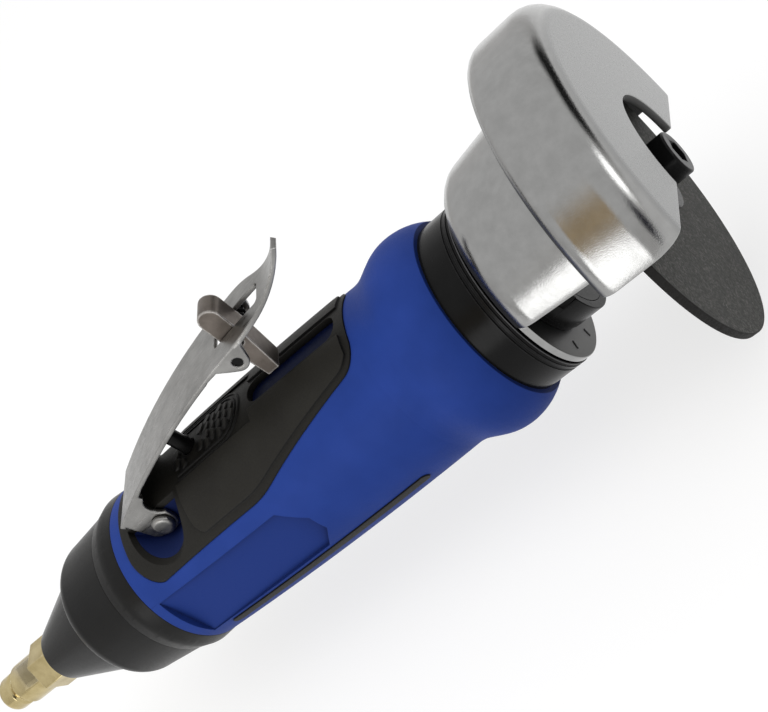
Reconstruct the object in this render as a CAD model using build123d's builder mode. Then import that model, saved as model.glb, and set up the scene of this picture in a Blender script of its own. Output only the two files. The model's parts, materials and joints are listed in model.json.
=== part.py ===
"""In-line air cut-off grinder: a lever-fed vane motor that drives a thin abrasive disc under a half guard.

Frame: X runs along the tool from the air inlet to the disc, Z points up through the throttle lever, and the
origin is the shoulder of the hose plug, on the motor axis. Lengths are millimetres.
"""
import os
from math import cos, radians, sin, sqrt

from build123d import *

# Clearances
running = 0.06
screwed = 0.05
slip = 0.1
bonded = 0.06
free_air = 0.3

# Hose plug
plug_tip_radius = 5.0
plug_tip_length = 5.8
plug_groove_radius = 4.2
plug_groove_length = 2.3
plug_land_radius = 5.85
plug_land_length = 9.8
plug_bore_radius = 2.9
plug_hex_flats = 13.0
plug_hex_length = 8.0
plug_thread_radius = 6.5
plug_thread_length = 9.0

# Inlet bushing, the black nose
nose_length = 22.5
nose_rear_radius = 7.9
nose_front_radius = 16.0
nose_rounding = 0.8
shank_radius = 9.0
shank_bore_radius = 5.0
shank_grip_length = 16.0
screen_thickness = 1.0
screen_hole_radius = 0.65
screen_hole_pitch = 1.75
screen_hole_count = 6

# Exhaust deflector and rear band
exhaust_slit = 0.8
deflector_length = 18.7
deflector_rear_radius = 16.5
deflector_front_radius = 21.0
deflector_wall = 2.2
deflector_round = 5.0
deflector_round_length = 4.7
deflector_taper = 1.4
deflector_overlap = 5.0
exhaust_port_radius = 1.3
exhaust_port_count = 8
band_length = 8.5
band_radius = 22.3
band_step = 0.2
ridge_length = 4.0

# Grip housing, outside
seam_radius = 21.9
swell_radius = 22.7
waist_radius = 22.0
flare_radius = 25.3
mouth_radius = 22.6
waist_length = 21.2
crest_length = 8.5
spigot_radius = 16.5
side_flat = 20.2
side_flat_setback = 3.0
side_flat_length = 46.5
side_flat_height = 16.4
side_flat_nose = 5.2

# Throttle lever, measured from its pivot
pivot_setback = 16.0
pivot_height = 17.4
lever_pin_radius = 2.0
lever_pin_head_radius = 2.9
lever_pin_head_height = 1.3
lever_pin_dome = 1.0
lever_width = 18.4
lever_sheet = 1.2
lever_tail = 8.0
lever_tail_rise = 6.5
lever_middle = 22.0
lever_middle_rise = 16.7
lever_reach = 59.5
lever_reach_rise = 23.0
lever_tip = 13.2
lever_tip_rise = 5.9
lever_tip_width = 3.0
lever_tip_round = 1.2
lever_taper_start = 5.8
lever_lug_radius = 3.4
lever_heel = 3.0
lever_heel_drop = 0.4
lever_heel_radius = 2.5
lever_scoop = 3.4
lever_scoop_ahead = 4.8
lever_scoop_rise = 5.2
ear_front = 3.5
ear_clearance = 0.2

# Lock-off lever, measured from its pin
lock_pin_reach = 49.8
lock_pin_radius = 1.2
lock_pin_gap = 1.0
lock_width = 5.6
lock_head_radius = 2.7
lock_head_height = 8.1
lock_head_lean = 0.9
lock_hub_radius = 2.6
lock_bar_thickness = 3.4
lock_bar_drop = 11.2
lock_bar_lean = 1.3
lock_slot_ahead = 11.5
lock_slot_behind = 4.6
lock_slot_corner = 1.0
lock_lug_radius = 2.6
lock_pin_recess = 0.5
lock_ear_behind = 5.8
lock_ear_ahead = 4.4
lock_spring_wire = 0.3
lock_spring_turns = 2.5

# Pocket for the lever's ears
pocket_radius = 9.0
pocket_shift = 0.3
pocket_rise = 5.0

# Overmoulded grip
grip_skin = 1.3
grip_proud = 0.3
grip_front_gap = 22.3
grip_rear_gap = 12.0
grip_front_half_width = 11.6
grip_taper = 38.0
grip_round = 6.0
grip_half_width = 19.1
grip_sweep = 40.0
pad_proud = 0.5
pad_inner_half_width = 7.6
pad_border = 0.8
pad_rear_gap = 1.6
pad_front_gap = 1.9
pad_front_half_width = 4.4
pad_round = 2.5
window_half_width = 3.4
window_length = 28.0
window_round = 3.0
strip_angle = 118.0
strip_width = 2.8
strip_length = 66.0
strip_setback = 8.0

# Throttle valve
valve_arm = 16.0
valve_bushing_radius = 6.0
valve_bushing_length = 11.0
valve_bushing_top = 17.5
valve_stem_radius = 1.9
valve_stem_round = 1.3
valve_stem_gap = 0.55
valve_chamber_radius = 3.3
valve_guide_length = 3.5
valve_head_radius = 4.6
valve_head_length = 2.6
valve_spring_length = 10.5
valve_spring_wire = 0.45
valve_spring_turns = 5.0
valve_spring_radius = 3.1
valve_port_radius = 1.8
valve_ring_wire = 0.8
valve_wall = 9.0

# Vane motor
motor_bore_radius = 17.0
rear_plate_thickness = 8.0
cylinder_length = 41.0
front_plate_thickness = 6.0
bearing_housing_length = 12.5
rotor_radius = 12.0
rotor_offset = 1.6
rotor_gap = 0.1
rotor_end_gap = 0.15
vane_count = 5
vane_thickness = 1.5
vane_depth = 6.4
vane_slot_spare = 0.5
spindle_radius = 6.0
journal_radius = 2.5
locating_pin_radius = 1.2
locating_pin_sink = 3.0
exhaust_bore_radius = 2.3
exhaust_bore_pitch = 12.6
exhaust_bore_angle = 125.0

# Ball bearings
front_bearing_radius = 14.0
front_bearing_width = 8.0
front_ball_radius = 2.1
front_ball_count = 8
rear_bearing_radius = 8.0
rear_bearing_width = 5.0
rear_ball_radius = 1.35
rear_ball_count = 7
race_depth = 0.45

# Clamp collar
collar_radius = 21.6
collar_visible = 9.1
collar_lip = 6.6
collar_thread_radius = 19.0
collar_thread_length = 10.0
collar_groove = 0.7
collar_groove_count = 2
collar_groove_pitch = 1.3

# Guard
nose_tube_radius = 13.0
guard_turn = 18.7
guard_sheet = 1.8
guard_base_radius = 21.4
guard_neck_radius = 26.3
guard_neck_flare = 3.6
guard_neck_length = 22.5
disc_room = 2.3
guard_drum_length = 18.1
guard_notch_radius = 15.0
guard_rear_bend = 7.0
guard_shoulder_bend = 4.0
guard_front_bend = 6.0
guard_waist_bend = 2.5
washer_thickness = 1.2
nut_wall = 2.0
nut_length = 7.0
nut_notch_count = 4
nut_notch = 3.0

# Disc and its clamping
disc_radius = 37.5
disc_thickness = 1.8
disc_bore_radius = 5.0
disc_depth_in_drum = 8.3
flange_radius = 10.0
flange_thickness = 4.5
spacer_radius = 8.0
outer_washer_radius = 9.0
outer_washer_thickness = 3.0
screw_radius = 3.0
screw_length = 18.0
screw_head_radius = 5.0
screw_head_length = 6.0
screw_head_edge = 0.5
screw_socket_flats = 5.0
screw_socket_depth = 3.0

# Stations along the tool
x_nose = plug_hex_length
x_slit = x_nose + nose_length
x_deflector = x_slit + exhaust_slit
x_band = x_deflector + deflector_length
x_seam = x_band + band_length
x_spigot = x_band - deflector_overlap
x_shank_end = x_spigot + shank_grip_length
x_pivot = x_seam + pivot_setback
x_valve = x_pivot + valve_arm
x_bulkhead = x_valve + valve_wall
x_cylinder = x_bulkhead + rear_plate_thickness
x_front_plate = x_cylinder + cylinder_length
x_bearing_housing = x_front_plate + front_plate_thickness
x_lip = x_bearing_housing + bearing_housing_length
x_collar_front = x_lip + collar_lip
x_mouth = x_collar_front - collar_visible
x_guard = x_collar_front + free_air
x_washer = x_guard + guard_sheet + slip
x_nut = x_washer + washer_thickness
x_nose_tube_end = x_nut + nut_length
x_drum = x_guard + guard_neck_length
x_disc = x_drum + disc_depth_in_drum
x_disc_front = x_disc + disc_thickness
x_flange = x_disc - flange_thickness
x_screw_seat = x_disc_front + outer_washer_thickness
x_front_bearing = x_bearing_housing + slip
x_spacer = x_front_bearing + front_bearing_width
x_rear_bearing = x_bulkhead + slip
x_lock_pin = x_pivot + lock_pin_reach

# Sizes that follow from others
guard_drum_radius = disc_radius + disc_room + guard_sheet
boss_half_width = lever_width / 2 - lever_sheet - free_air
nut_radius = nose_tube_radius + nut_wall


def ring(x0, x1, inner, outer):
    """A plain round ring on the tool's axis."""
    with BuildPart() as turned:
        with BuildSketch(Plane.YZ.offset(x0)):
            Circle(outer)
            Circle(inner, mode=Mode.SUBTRACT)
        extrude(amount=x1 - x0)
    return turned.part


def ball_race(x_middle, width, inner, outer, pitch, ball):
    """One bearing ring with a ball groove round its pitch circle."""
    with BuildPart() as race:
        add(ring(x_middle - width / 2, x_middle + width / 2, inner, outer))
        with BuildSketch(Plane.XZ):
            with Locations((x_middle, pitch)):
                Circle(ball + running)
        revolve(axis=Axis.X, mode=Mode.SUBTRACT)
    return race.part


def ball_set(x_middle, pitch, ball, count):
    """The balls of one bearing, evenly spaced on the pitch circle."""
    with BuildPart() as balls:
        with Locations(Plane.YZ.offset(x_middle)):
            with PolarLocations(pitch, count):
                Sphere(ball)
    return balls.part


def coil(radius, wire, length, turns):
    """A compression spring along Z that starts at the origin, with wire centres inside its two ends."""
    pitch = (length - 2 * wire) / turns
    with BuildPart() as spring:
        with BuildLine() as path:
            Helix(pitch=pitch, height=length - 2 * wire, radius=radius)
        with BuildSketch(Plane(path.line @ 0, z_dir=path.line % 0)):
            Circle(wire)
        sweep(is_frenet=True)
    return Pos(0, 0, wire) * spring.part


def save(part, name):
    """Labels a piece and writes it."""
    part.label = name
    export_step(part, f"parts/{name}.step")


os.makedirs("parts", exist_ok=True)

# Hose plug: rounded tip, locking groove, sealing land, hexagon and thread
x_plug_groove = -plug_land_length
x_plug_tip = x_plug_groove - plug_groove_length
with BuildPart() as air_nipple:
    with BuildSketch(Plane.XZ):
        with BuildLine():
            tip_start = (x_plug_tip - plug_tip_length, plug_bore_radius)
            tip_round = plug_tip_radius - plug_bore_radius
            tip_shoulder = (x_plug_tip - plug_tip_length + tip_round, plug_tip_radius)
            RadiusArc(tip_start, tip_shoulder, tip_round)
            Polyline(
                tip_shoulder,
                (x_plug_tip - plug_groove_length / 4, plug_tip_radius),
                (x_plug_tip, plug_groove_radius),
                (x_plug_groove - plug_groove_length / 4, plug_groove_radius),
                (x_plug_groove, plug_land_radius),
                (0, plug_land_radius),
                (x_nose, plug_land_radius),
                (x_nose, plug_thread_radius),
                (x_nose + plug_thread_length, plug_thread_radius),
                (x_nose + plug_thread_length, plug_bore_radius),
                tip_start,
            )
        make_face()
    revolve(axis=Axis.X)
    with BuildSketch(Plane.YZ):
        RegularPolygon(plug_hex_flats / 2, 6, major_radius=False)
        Circle(plug_bore_radius, mode=Mode.SUBTRACT)
    extrude(amount=plug_hex_length)
save(air_nipple.part, "air_nipple")

# Inlet bushing: the black nose outside, a threaded shank inside the housing
with BuildPart() as inlet_bushing:
    with BuildSketch(Plane.XZ):
        with BuildLine():
            Polyline(
                (x_nose, plug_thread_radius + screwed),
                (x_nose, nose_rear_radius),
                (x_slit, nose_front_radius),
                (x_slit, shank_radius + deflector_wall / 2),
                (x_deflector, shank_radius + deflector_wall / 2),
                (x_deflector, shank_radius),
                (x_shank_end, shank_radius),
                (x_shank_end, shank_bore_radius),
                (x_nose + plug_thread_length + screen_thickness + slip, shank_bore_radius),
                (x_nose + plug_thread_length + screen_thickness + slip, plug_thread_radius + screwed),
                close=True,
            )
        face = make_face()
        rim = face.vertices().group_by(Axis.X)[0].sort_by(Axis.Y)[-1]
        fillet(rim, nose_rounding)
    revolve(axis=Axis.X)
save(inlet_bushing.part, "inlet_bushing")

# Inlet screen: a thin perforated disc held between plug and bushing
with BuildPart() as inlet_screen:
    with BuildSketch(Plane.YZ.offset(x_nose + plug_thread_length)):
        Circle(plug_thread_radius - slip)
        with PolarLocations(screen_hole_pitch, screen_hole_count):
            Circle(screen_hole_radius, mode=Mode.SUBTRACT)
    extrude(amount=screen_thickness)
save(inlet_screen.part, "inlet_screen")

# Exhaust deflector: a rounded drum with ports behind the slit
with BuildPart() as exhaust_deflector:
    with BuildSketch(Plane.XZ):
        with BuildLine():
            deflector_mouth = (x_deflector, deflector_rear_radius)
            deflector_side = (x_deflector + deflector_round_length, deflector_front_radius - deflector_taper)
            Line((x_deflector, shank_radius + slip), deflector_mouth)
            RadiusArc(deflector_mouth, deflector_side, deflector_round)
            Polyline(
                deflector_side,
                (x_band, deflector_front_radius),
                (x_band, spigot_radius + slip),
                (x_deflector + deflector_wall * 2, spigot_radius + slip),
                (x_deflector + deflector_wall, deflector_rear_radius - deflector_wall / 2),
                (x_deflector + deflector_wall, shank_radius + slip),
                (x_deflector, shank_radius + slip),
            )
        make_face()
    revolve(axis=Axis.X)
    port_pitch = (shank_radius + deflector_wall / 2 + deflector_rear_radius) / 2
    with BuildSketch(Plane.YZ.offset(x_deflector)):
        with PolarLocations(port_pitch, exhaust_port_count):
            Circle(exhaust_port_radius)
    extrude(amount=deflector_wall, mode=Mode.SUBTRACT)
save(exhaust_deflector.part, "exhaust_deflector")

# Felt ring that quiets the exhaust
muffler_felt = ring(
    x_deflector + deflector_wall * 2 + free_air,
    x_spigot - free_air,
    shank_radius + slip,
    spigot_radius - free_air,
)
save(muffler_felt, "muffler_felt")

# Rear band: a ring with a raised ridge on the spigot of the housing
with BuildPart() as rear_band:
    with BuildSketch(Plane.XZ):
        with BuildLine():
            Polyline(
                (x_band, spigot_radius + slip),
                (x_band, deflector_front_radius + band_step),
                (x_band + ridge_length, band_radius),
                (x_seam, seam_radius),
                (x_seam, spigot_radius + slip),
                close=True,
            )
        make_face()
    revolve(axis=Axis.X)
save(rear_band.part, "rear_band")

# Grip housing: turned outside, valve block behind, motor bore in front
x_waist = x_mouth - waist_length
x_crest = x_mouth - crest_length
x_grip_front = x_mouth - grip_front_gap
x_grip_rear = x_pivot - grip_rear_gap
z_valve_seat = valve_bushing_top - valve_bushing_length
z_valve_head = z_valve_seat - slip
z_spring_top = z_valve_head - valve_head_length
z_spring_floor = z_spring_top - valve_spring_length
z_valve_port = valve_bushing_top - valve_guide_length - valve_port_radius - valve_ring_wire
exhaust_side = exhaust_bore_pitch * sin(radians(exhaust_bore_angle))
exhaust_rise = exhaust_bore_pitch * cos(radians(exhaust_bore_angle))
exhaust_places = [(-exhaust_side, exhaust_rise), (exhaust_side, exhaust_rise)]
cylinder_bore_radius = rotor_radius + rotor_offset + rotor_gap
stack_radius = motor_bore_radius - screwed
locating_pin_pitch = (stack_radius + cylinder_bore_radius - rotor_offset) / 2


def barrel(inset):
    """The housing's turned outside, with every radius smaller by the inset and its seam underneath."""
    underside = Plane((0, 0, 0), x_dir=(1, 0, 0), z_dir=(0, 1, 0))
    with BuildPart() as turned:
        with BuildSketch(underside):
            with BuildLine():
                Line((x_seam, 0), (x_seam, seam_radius - inset))
                middle = ((x_seam + x_waist) / 2, swell_radius - inset)
                ThreePointArc((x_seam, seam_radius - inset), middle, (x_waist, waist_radius - inset))
                Spline(
                    (x_waist, waist_radius - inset),
                    (x_crest, flare_radius - inset),
                    tangents=[(1, 0), (1, 0)],
                )
                TangentArc((x_crest, flare_radius - inset), (x_mouth, mouth_radius - inset), tangent=(1, 0))
                Polyline((x_mouth, mouth_radius - inset), (x_mouth, 0), (x_seam, 0))
            make_face()
        revolve(axis=Axis.X)
    return turned.part


def grip_outline(grow):
    """The overmoulded grip's outline seen from above, widened all round by grow, as a tall prism."""
    with BuildPart() as prism:
        with BuildSketch(Plane.XY):
            with BuildLine():
                FilletPolyline(
                    (x_grip_front + grow, 0),
                    (x_grip_front + grow, grip_front_half_width + grow),
                    (x_grip_front - grip_taper, grip_half_width + grow),
                    (x_grip_rear - grow, grip_half_width + grow),
                    (x_grip_rear - grow, 0),
                    radius=[grip_round, grip_sweep, grip_round],
                )
                Line((x_grip_front + grow, 0), (x_grip_rear - grow, 0))
            make_face()
            mirror(about=Plane.XZ)
        extrude(amount=flare_radius * 2)
    return prism.part


def ear_pockets():
    """The two round-bottomed pockets beside the pivot boss that the lever's ears work in."""
    with BuildPart() as pockets:
        for side in (-1, 1):
            wall = Plane((x_pivot - pocket_shift, side * boss_half_width, pivot_height + pocket_rise),
                         x_dir=(1, 0, 0), z_dir=(0, side, 0))
            with BuildSketch(wall):
                Circle(pocket_radius)
            extrude(amount=flare_radius)
    return pockets.part


def flank_strip_pair(depth, proud, grow):
    """Two slim strips low on the flanks that follow the housing's outside."""
    with BuildPart() as strips:
        for side in (-1, 1):
            outward = (0, side * sin(radians(strip_angle)), cos(radians(strip_angle)))
            middle = x_seam + strip_setback + strip_length / 2
            with BuildSketch(Plane((middle, 0, 0), x_dir=(1, 0, 0), z_dir=outward)):
                SlotOverall(strip_length + 2 * grow, strip_width + 2 * grow)
            extrude(amount=flare_radius)
        add(barrel(-proud), mode=Mode.INTERSECT)
        add(barrel(depth), mode=Mode.SUBTRACT)
    return strips.part


with BuildPart() as grip_seat_tool:
    add(barrel(-pad_proud * 3))
    add(barrel(grip_skin + bonded), mode=Mode.SUBTRACT)
    add(grip_outline(bonded), mode=Mode.INTERSECT)
grip_seat = grip_seat_tool.part
strip_seats = flank_strip_pair(grip_skin + bonded, pad_proud * 3, bonded)

with BuildPart() as grip_housing:
    add(barrel(0))
    with BuildSketch(Plane.YZ.offset(x_spigot)):
        Circle(spigot_radius)
    extrude(amount=x_seam - x_spigot)
    # motor bore, with a wider mouth for the collar's thread
    with BuildSketch(Plane.YZ.offset(x_bulkhead)):
        Circle(motor_bore_radius)
    extrude(amount=x_mouth - x_bulkhead, mode=Mode.SUBTRACT)
    with BuildSketch(Plane.YZ.offset(x_mouth - collar_thread_length - slip)):
        Circle(collar_thread_radius + screwed)
    extrude(amount=collar_thread_length + slip, mode=Mode.SUBTRACT)
    # air way: bushing thread, inlet bore, valve bore, feed port and exhaust bores
    with BuildSketch(Plane.YZ.offset(x_spigot)):
        Circle(shank_radius + screwed)
    extrude(amount=shank_grip_length + slip, mode=Mode.SUBTRACT)
    with BuildSketch(Plane.YZ.offset(x_spigot)):
        Circle(shank_bore_radius)
    extrude(amount=x_valve - x_spigot, mode=Mode.SUBTRACT)
    with BuildSketch(Plane.XY.offset(z_valve_seat)):
        with Locations((x_valve, 0)):
            Circle(valve_bushing_radius + screwed)
    extrude(amount=flare_radius, mode=Mode.SUBTRACT)
    with BuildSketch(Plane.XY.offset(z_spring_floor)):
        with Locations((x_valve, 0)):
            Circle(valve_head_radius + free_air)
    extrude(amount=z_valve_seat - z_spring_floor, mode=Mode.SUBTRACT)
    with BuildSketch(Plane.YZ.offset(x_valve)):
        with Locations((0, z_valve_port)):
            Circle(valve_port_radius)
    extrude(amount=x_bulkhead - x_valve, mode=Mode.SUBTRACT)
    with BuildSketch(Plane.YZ.offset(x_spigot)):
        with Locations(*exhaust_places):
            Circle(exhaust_bore_radius)
    extrude(amount=x_bulkhead - x_spigot, mode=Mode.SUBTRACT)
    with BuildSketch(Plane.YZ.offset(x_bulkhead - locating_pin_sink)):
        with Locations((0, -locating_pin_pitch)):
            Circle(locating_pin_radius + screwed)
    extrude(amount=locating_pin_sink, mode=Mode.SUBTRACT)
    # lever pivot: pin hole and the pockets for the ears
    with BuildSketch(Plane.XZ):
        with Locations((x_pivot, pivot_height)):
            Circle(lever_pin_radius + screwed)
    extrude(amount=flare_radius, both=True, mode=Mode.SUBTRACT)
    add(ear_pockets(), mode=Mode.SUBTRACT)
    # flat recess on each side
    for side in (-1, 1):
        recess = Plane((x_seam + side_flat_setback, side * side_flat, 0), x_dir=(1, 0, 0), z_dir=(0, side, 0))
        with BuildSketch(recess):
            with BuildLine():
                half = side_flat_height / 2
                nose = side_flat_length - side_flat_nose
                Polyline(
                    (0, -half),
                    (0, half),
                    (nose, half),
                    (side_flat_length, side_flat_nose / 2),
                    (side_flat_length, -side_flat_nose / 2),
                    (nose, -half),
                    close=True,
                )
            make_face()
        extrude(amount=flare_radius, mode=Mode.SUBTRACT)
    # seats for the soft grip and the flank strips
    add(grip_seat, mode=Mode.SUBTRACT)
    add(strip_seats, mode=Mode.SUBTRACT)
save(grip_housing.part, "grip_housing")

# Soft grip: one skin round the lever, with two raised side pads
x_pad_rear = x_pivot - pocket_shift + pocket_radius + pad_rear_gap
x_pad_front = x_grip_front - pad_front_gap
x_window_front = x_pad_front - pad_border
x_window_rear = x_window_front - window_length
with BuildPart() as side_pads:
    add(barrel(-grip_proud - pad_proud))
    add(barrel(grip_skin), mode=Mode.SUBTRACT)
    add(grip_outline(-pad_border), mode=Mode.INTERSECT)
    with BuildSketch(Plane.XY):
        with Locations(((x_pad_rear + x_pad_front) / 2, 0)):
            RectangleRounded(x_pad_front - x_pad_rear, (grip_half_width - pad_border + slip) * 2, pad_round)
            Rectangle(x_pad_front - x_pad_rear, pad_front_half_width * 2, mode=Mode.SUBTRACT)
        with Locations(((x_pad_rear + x_window_rear) / 2, 0)):
            Rectangle(x_window_rear - x_pad_rear, pad_inner_half_width * 2, mode=Mode.SUBTRACT)
    extrude(amount=flare_radius * 2, mode=Mode.INTERSECT)

with BuildPart() as soft_grip:
    add(barrel(-grip_proud))
    add(barrel(grip_skin), mode=Mode.SUBTRACT)
    add(grip_outline(0), mode=Mode.INTERSECT)
    add(side_pads.part)
    add(ear_pockets(), mode=Mode.SUBTRACT)
    # hole for the valve stem, and the window that bares the housing between the pads
    with BuildSketch(Plane.XY.offset(valve_bushing_top)):
        with Locations((x_valve, 0)):
            Circle(valve_stem_radius + free_air)
        with Locations(((x_window_rear + x_window_front) / 2, 0)):
            RectangleRounded(window_length, window_half_width * 2, window_round)
    extrude(amount=flare_radius, mode=Mode.SUBTRACT)
save(soft_grip.part, "soft_grip")

# Flank strips
flank_strips = flank_strip_pair(grip_skin, grip_proud, 0)
save(flank_strips, "flank_strips")

# Clamp collar: screwed into the housing's mouth, grooved in front
with BuildPart() as clamp_collar:
    with BuildSketch(Plane.XZ):
        with BuildLine():
            Polyline(
                (x_mouth - collar_thread_length, motor_bore_radius),
                (x_mouth - collar_thread_length, collar_thread_radius),
                (x_mouth, collar_thread_radius),
                (x_mouth, collar_radius),
                (x_collar_front, collar_radius),
                (x_collar_front, nose_tube_radius + slip),
                (x_lip, nose_tube_radius + slip),
                (x_lip, motor_bore_radius),
                close=True,
            )
        make_face()
        for index in range(collar_groove_count):
            with Locations((x_collar_front - collar_groove - index * collar_groove_pitch, collar_radius)):
                Circle(collar_groove / 2, mode=Mode.SUBTRACT)
    revolve(axis=Axis.X)
save(clamp_collar.part, "clamp_collar")

# Throttle lever: one bent sheet with rear ears on the pivot and front ears on the lock-off pin
lever_half = lever_width / 2
lever_tail_point = (x_pivot - lever_tail, pivot_height + lever_tail_rise)
lever_middle_point = (x_pivot + lever_middle, pivot_height + lever_middle_rise)
lever_reach_point = (x_pivot + lever_reach, pivot_height + lever_reach_rise)
lever_tip_point = (x_pivot + lever_reach + lever_tip, pivot_height + lever_reach_rise + lever_tip_rise)
web = ThreePointArc(lever_tail_point, lever_middle_point, lever_reach_point)


def web_height(x):
    """Height of the lever's upper face at a station along the tool."""
    return web.arc_center.Y + sqrt(web.radius**2 - (x - web.arc_center.X) ** 2)


def web_core(x):
    """A point halfway through the lever's sheet."""
    return (x, web_height(x) - lever_sheet / 2)


z_lock_pin = web_height(x_lock_pin) - lever_sheet - lock_pin_gap - lock_pin_radius


def lever_ears(web_points, rounds, pin, hole_radius):
    """A pair of ears: the hull of web points and of circles (centre, radius), with a pin hole."""
    with BuildPart() as ears:
        for side in (-1, 1):
            inside = Plane((0, side * (lever_half - lever_sheet), 0), x_dir=(1, 0, 0), z_dir=(0, -1, 0))
            with BuildSketch(inside):
                with BuildLine():
                    Polyline(*web_points)
                    for centre, radius in rounds:
                        CenterArc(centre, radius, 0, 360)
                make_hull()
                with Locations(pin):
                    Circle(hole_radius, mode=Mode.SUBTRACT)
            extrude(amount=-side * lever_sheet)
    return ears.part


pivot = (x_pivot, pivot_height)
lever_heel_centre = (x_pivot - lever_heel, pivot_height - lever_heel_drop)
rear_ears = lever_ears(
    [web_core(x_pivot - lever_tail + lever_sheet), web_core(x_pivot + ear_front)],
    [(pivot, lever_lug_radius), (lever_heel_centre, lever_heel_radius)],
    pivot,
    lever_pin_radius + running,
)
lock_pivot = (x_lock_pin, z_lock_pin)
front_ears = lever_ears(
    [web_core(x_lock_pin - lock_ear_behind), web_core(x_lock_pin + lock_ear_ahead)],
    [(lock_pivot, lock_lug_radius)],
    lock_pivot,
    lock_pin_radius + screwed,
)
with BuildPart() as throttle_lever:
    with BuildSketch(Plane.XZ):
        with BuildLine():
            add(web)
            TangentArc(lever_reach_point, lever_tip_point, tangent=web % 1)
            offset(amount=lever_sheet, side=Side.RIGHT)
        make_face()
    extrude(amount=lever_half, both=True)
    with BuildSketch(Plane.XY):
        with BuildLine():
            x_tail = lever_tail_point[0] - lever_sheet
            x_tip = lever_tip_point[0] + lever_sheet
            FilletPolyline(
                (x_tail, 0),
                (x_tail, lever_half),
                (x_lock_pin + lever_taper_start, lever_half),
                (x_tip, lever_tip_width / 2),
                (x_tip, 0),
                radius=[lever_sheet, lever_width, lever_tip_round],
            )
            Line((x_tip, 0), (x_tail, 0))
        make_face()
        mirror(about=Plane.XZ)
        with Locations((x_lock_pin + (lock_slot_ahead - lock_slot_behind) / 2, 0)):
            RectangleRounded(
                lock_slot_ahead + lock_slot_behind,
                lock_width + 2 * free_air,
                lock_slot_corner,
                mode=Mode.SUBTRACT,
            )
    extrude(amount=lever_tip_point[1] * 2, mode=Mode.INTERSECT)
    add(rear_ears)
    add(front_ears)
    # hollow in front of the rear ears
    with BuildSketch(Plane.XZ):
        with Locations((x_pivot + lever_scoop_ahead, pivot_height + lever_scoop_rise)):
            Circle(lever_scoop)
    extrude(amount=lever_half, both=True, mode=Mode.SUBTRACT)
save(throttle_lever.part, "throttle_lever")

# Lever pin: a rivet with a domed head at each end
with BuildPart() as lever_pin:
    with BuildSketch(Plane.XZ):
        with Locations(pivot):
            Circle(lever_pin_radius)
    extrude(amount=lever_half + ear_clearance, both=True)
    for side in (-1, 1):
        seat = Plane((x_pivot, side * (lever_half + ear_clearance), pivot_height),
                     x_dir=(1, 0, 0), z_dir=(0, side, 0))
        with BuildSketch(seat):
            Circle(lever_pin_head_radius)
        head = extrude(amount=lever_pin_head_height)
        fillet(head.faces().sort_by(Axis.Y)[-1 if side > 0 else 0].edges(), lever_pin_dome)
save(lever_pin.part, "lever_pin")

# Lock-off lever: a round-headed finger above the web and a blocking bar below it
with BuildPart() as lock_lever:
    with BuildSketch(Plane.XZ):
        with BuildLine():
            CenterArc((x_lock_pin + lock_head_lean, z_lock_pin + lock_head_height), lock_head_radius, 0, 360)
            CenterArc(lock_pivot, lock_hub_radius, 0, 360)
        make_hull()
    extrude(amount=lock_width / 2, both=True)
    with BuildSketch(Plane.XZ):
        with BuildLine():
            CenterArc(lock_pivot, lock_hub_radius, 0, 360)
            Polyline(
                (x_lock_pin - lock_bar_lean - lock_bar_thickness / 2, z_lock_pin - lock_bar_drop),
                (x_lock_pin - lock_bar_lean + lock_bar_thickness / 2, z_lock_pin - lock_bar_drop),
            )
        make_hull()
    extrude(amount=lock_width / 2, both=True)
    with BuildSketch(Plane.XZ):
        with Locations(lock_pivot):
            Circle(lock_pin_radius + running)
    extrude(amount=lock_width / 2, both=True, mode=Mode.SUBTRACT)
save(lock_lever.part, "lock_lever")

# Lock-off pin and the spring coiled on it
with BuildPart() as lock_pin:
    with BuildSketch(Plane.XZ):
        with Locations(lock_pivot):
            Circle(lock_pin_radius)
    extrude(amount=lever_half - lock_pin_recess, both=True)
save(lock_pin.part, "lock_pin")

lock_spring_room = lever_half - lever_sheet - lock_width / 2 - 2 * free_air
lock_spring_radius = lock_pin_radius + lock_spring_wire + slip
lock_spring_start = (x_lock_pin, lock_width / 2 + free_air, z_lock_pin)
lock_spring_place = Plane(lock_spring_start, x_dir=(1, 0, 0), z_dir=(0, 1, 0))
lock_spring = lock_spring_place.location * coil(
    lock_spring_radius, lock_spring_wire, lock_spring_room, lock_spring_turns
)
save(lock_spring, "lock_spring")

# Throttle valve: bushing, seal ring, stem and spring
valve_axis = Axis((x_valve, 0, 0), (0, 0, 1))
x_bush = x_valve + valve_bushing_radius
ring_depth = valve_ring_wire * 2
z_ring = valve_bushing_top - valve_guide_length / 2
with BuildPart() as valve_bushing:
    with BuildSketch(Plane.XZ):
        with BuildLine():
            Polyline(
                (x_valve + valve_chamber_radius, z_valve_seat),
                (x_bush, z_valve_seat),
                (x_bush, z_ring - valve_ring_wire - slip),
                (x_bush - ring_depth, z_ring - valve_ring_wire - slip),
                (x_bush - ring_depth, z_ring + valve_ring_wire + slip),
                (x_bush, z_ring + valve_ring_wire + slip),
                (x_bush, valve_bushing_top),
                (x_valve + valve_stem_radius + running, valve_bushing_top),
                (x_valve + valve_stem_radius + running, valve_bushing_top - valve_guide_length),
                (x_valve + valve_chamber_radius, valve_bushing_top - valve_guide_length),
                close=True,
            )
        make_face()
    revolve(axis=valve_axis)
    with BuildSketch(Plane.YZ.offset(x_valve)):
        with Locations((0, z_valve_port)):
            Circle(valve_port_radius)
    extrude(amount=valve_bushing_radius, mode=Mode.SUBTRACT)
save(valve_bushing.part, "valve_bushing")

with BuildPart() as valve_seal_ring:
    with BuildSketch(Plane.XZ):
        with Locations((x_bush - valve_ring_wire, z_ring)):
            Circle(valve_ring_wire - running)
    revolve(axis=valve_axis)
save(valve_seal_ring.part, "valve_seal_ring")

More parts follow.
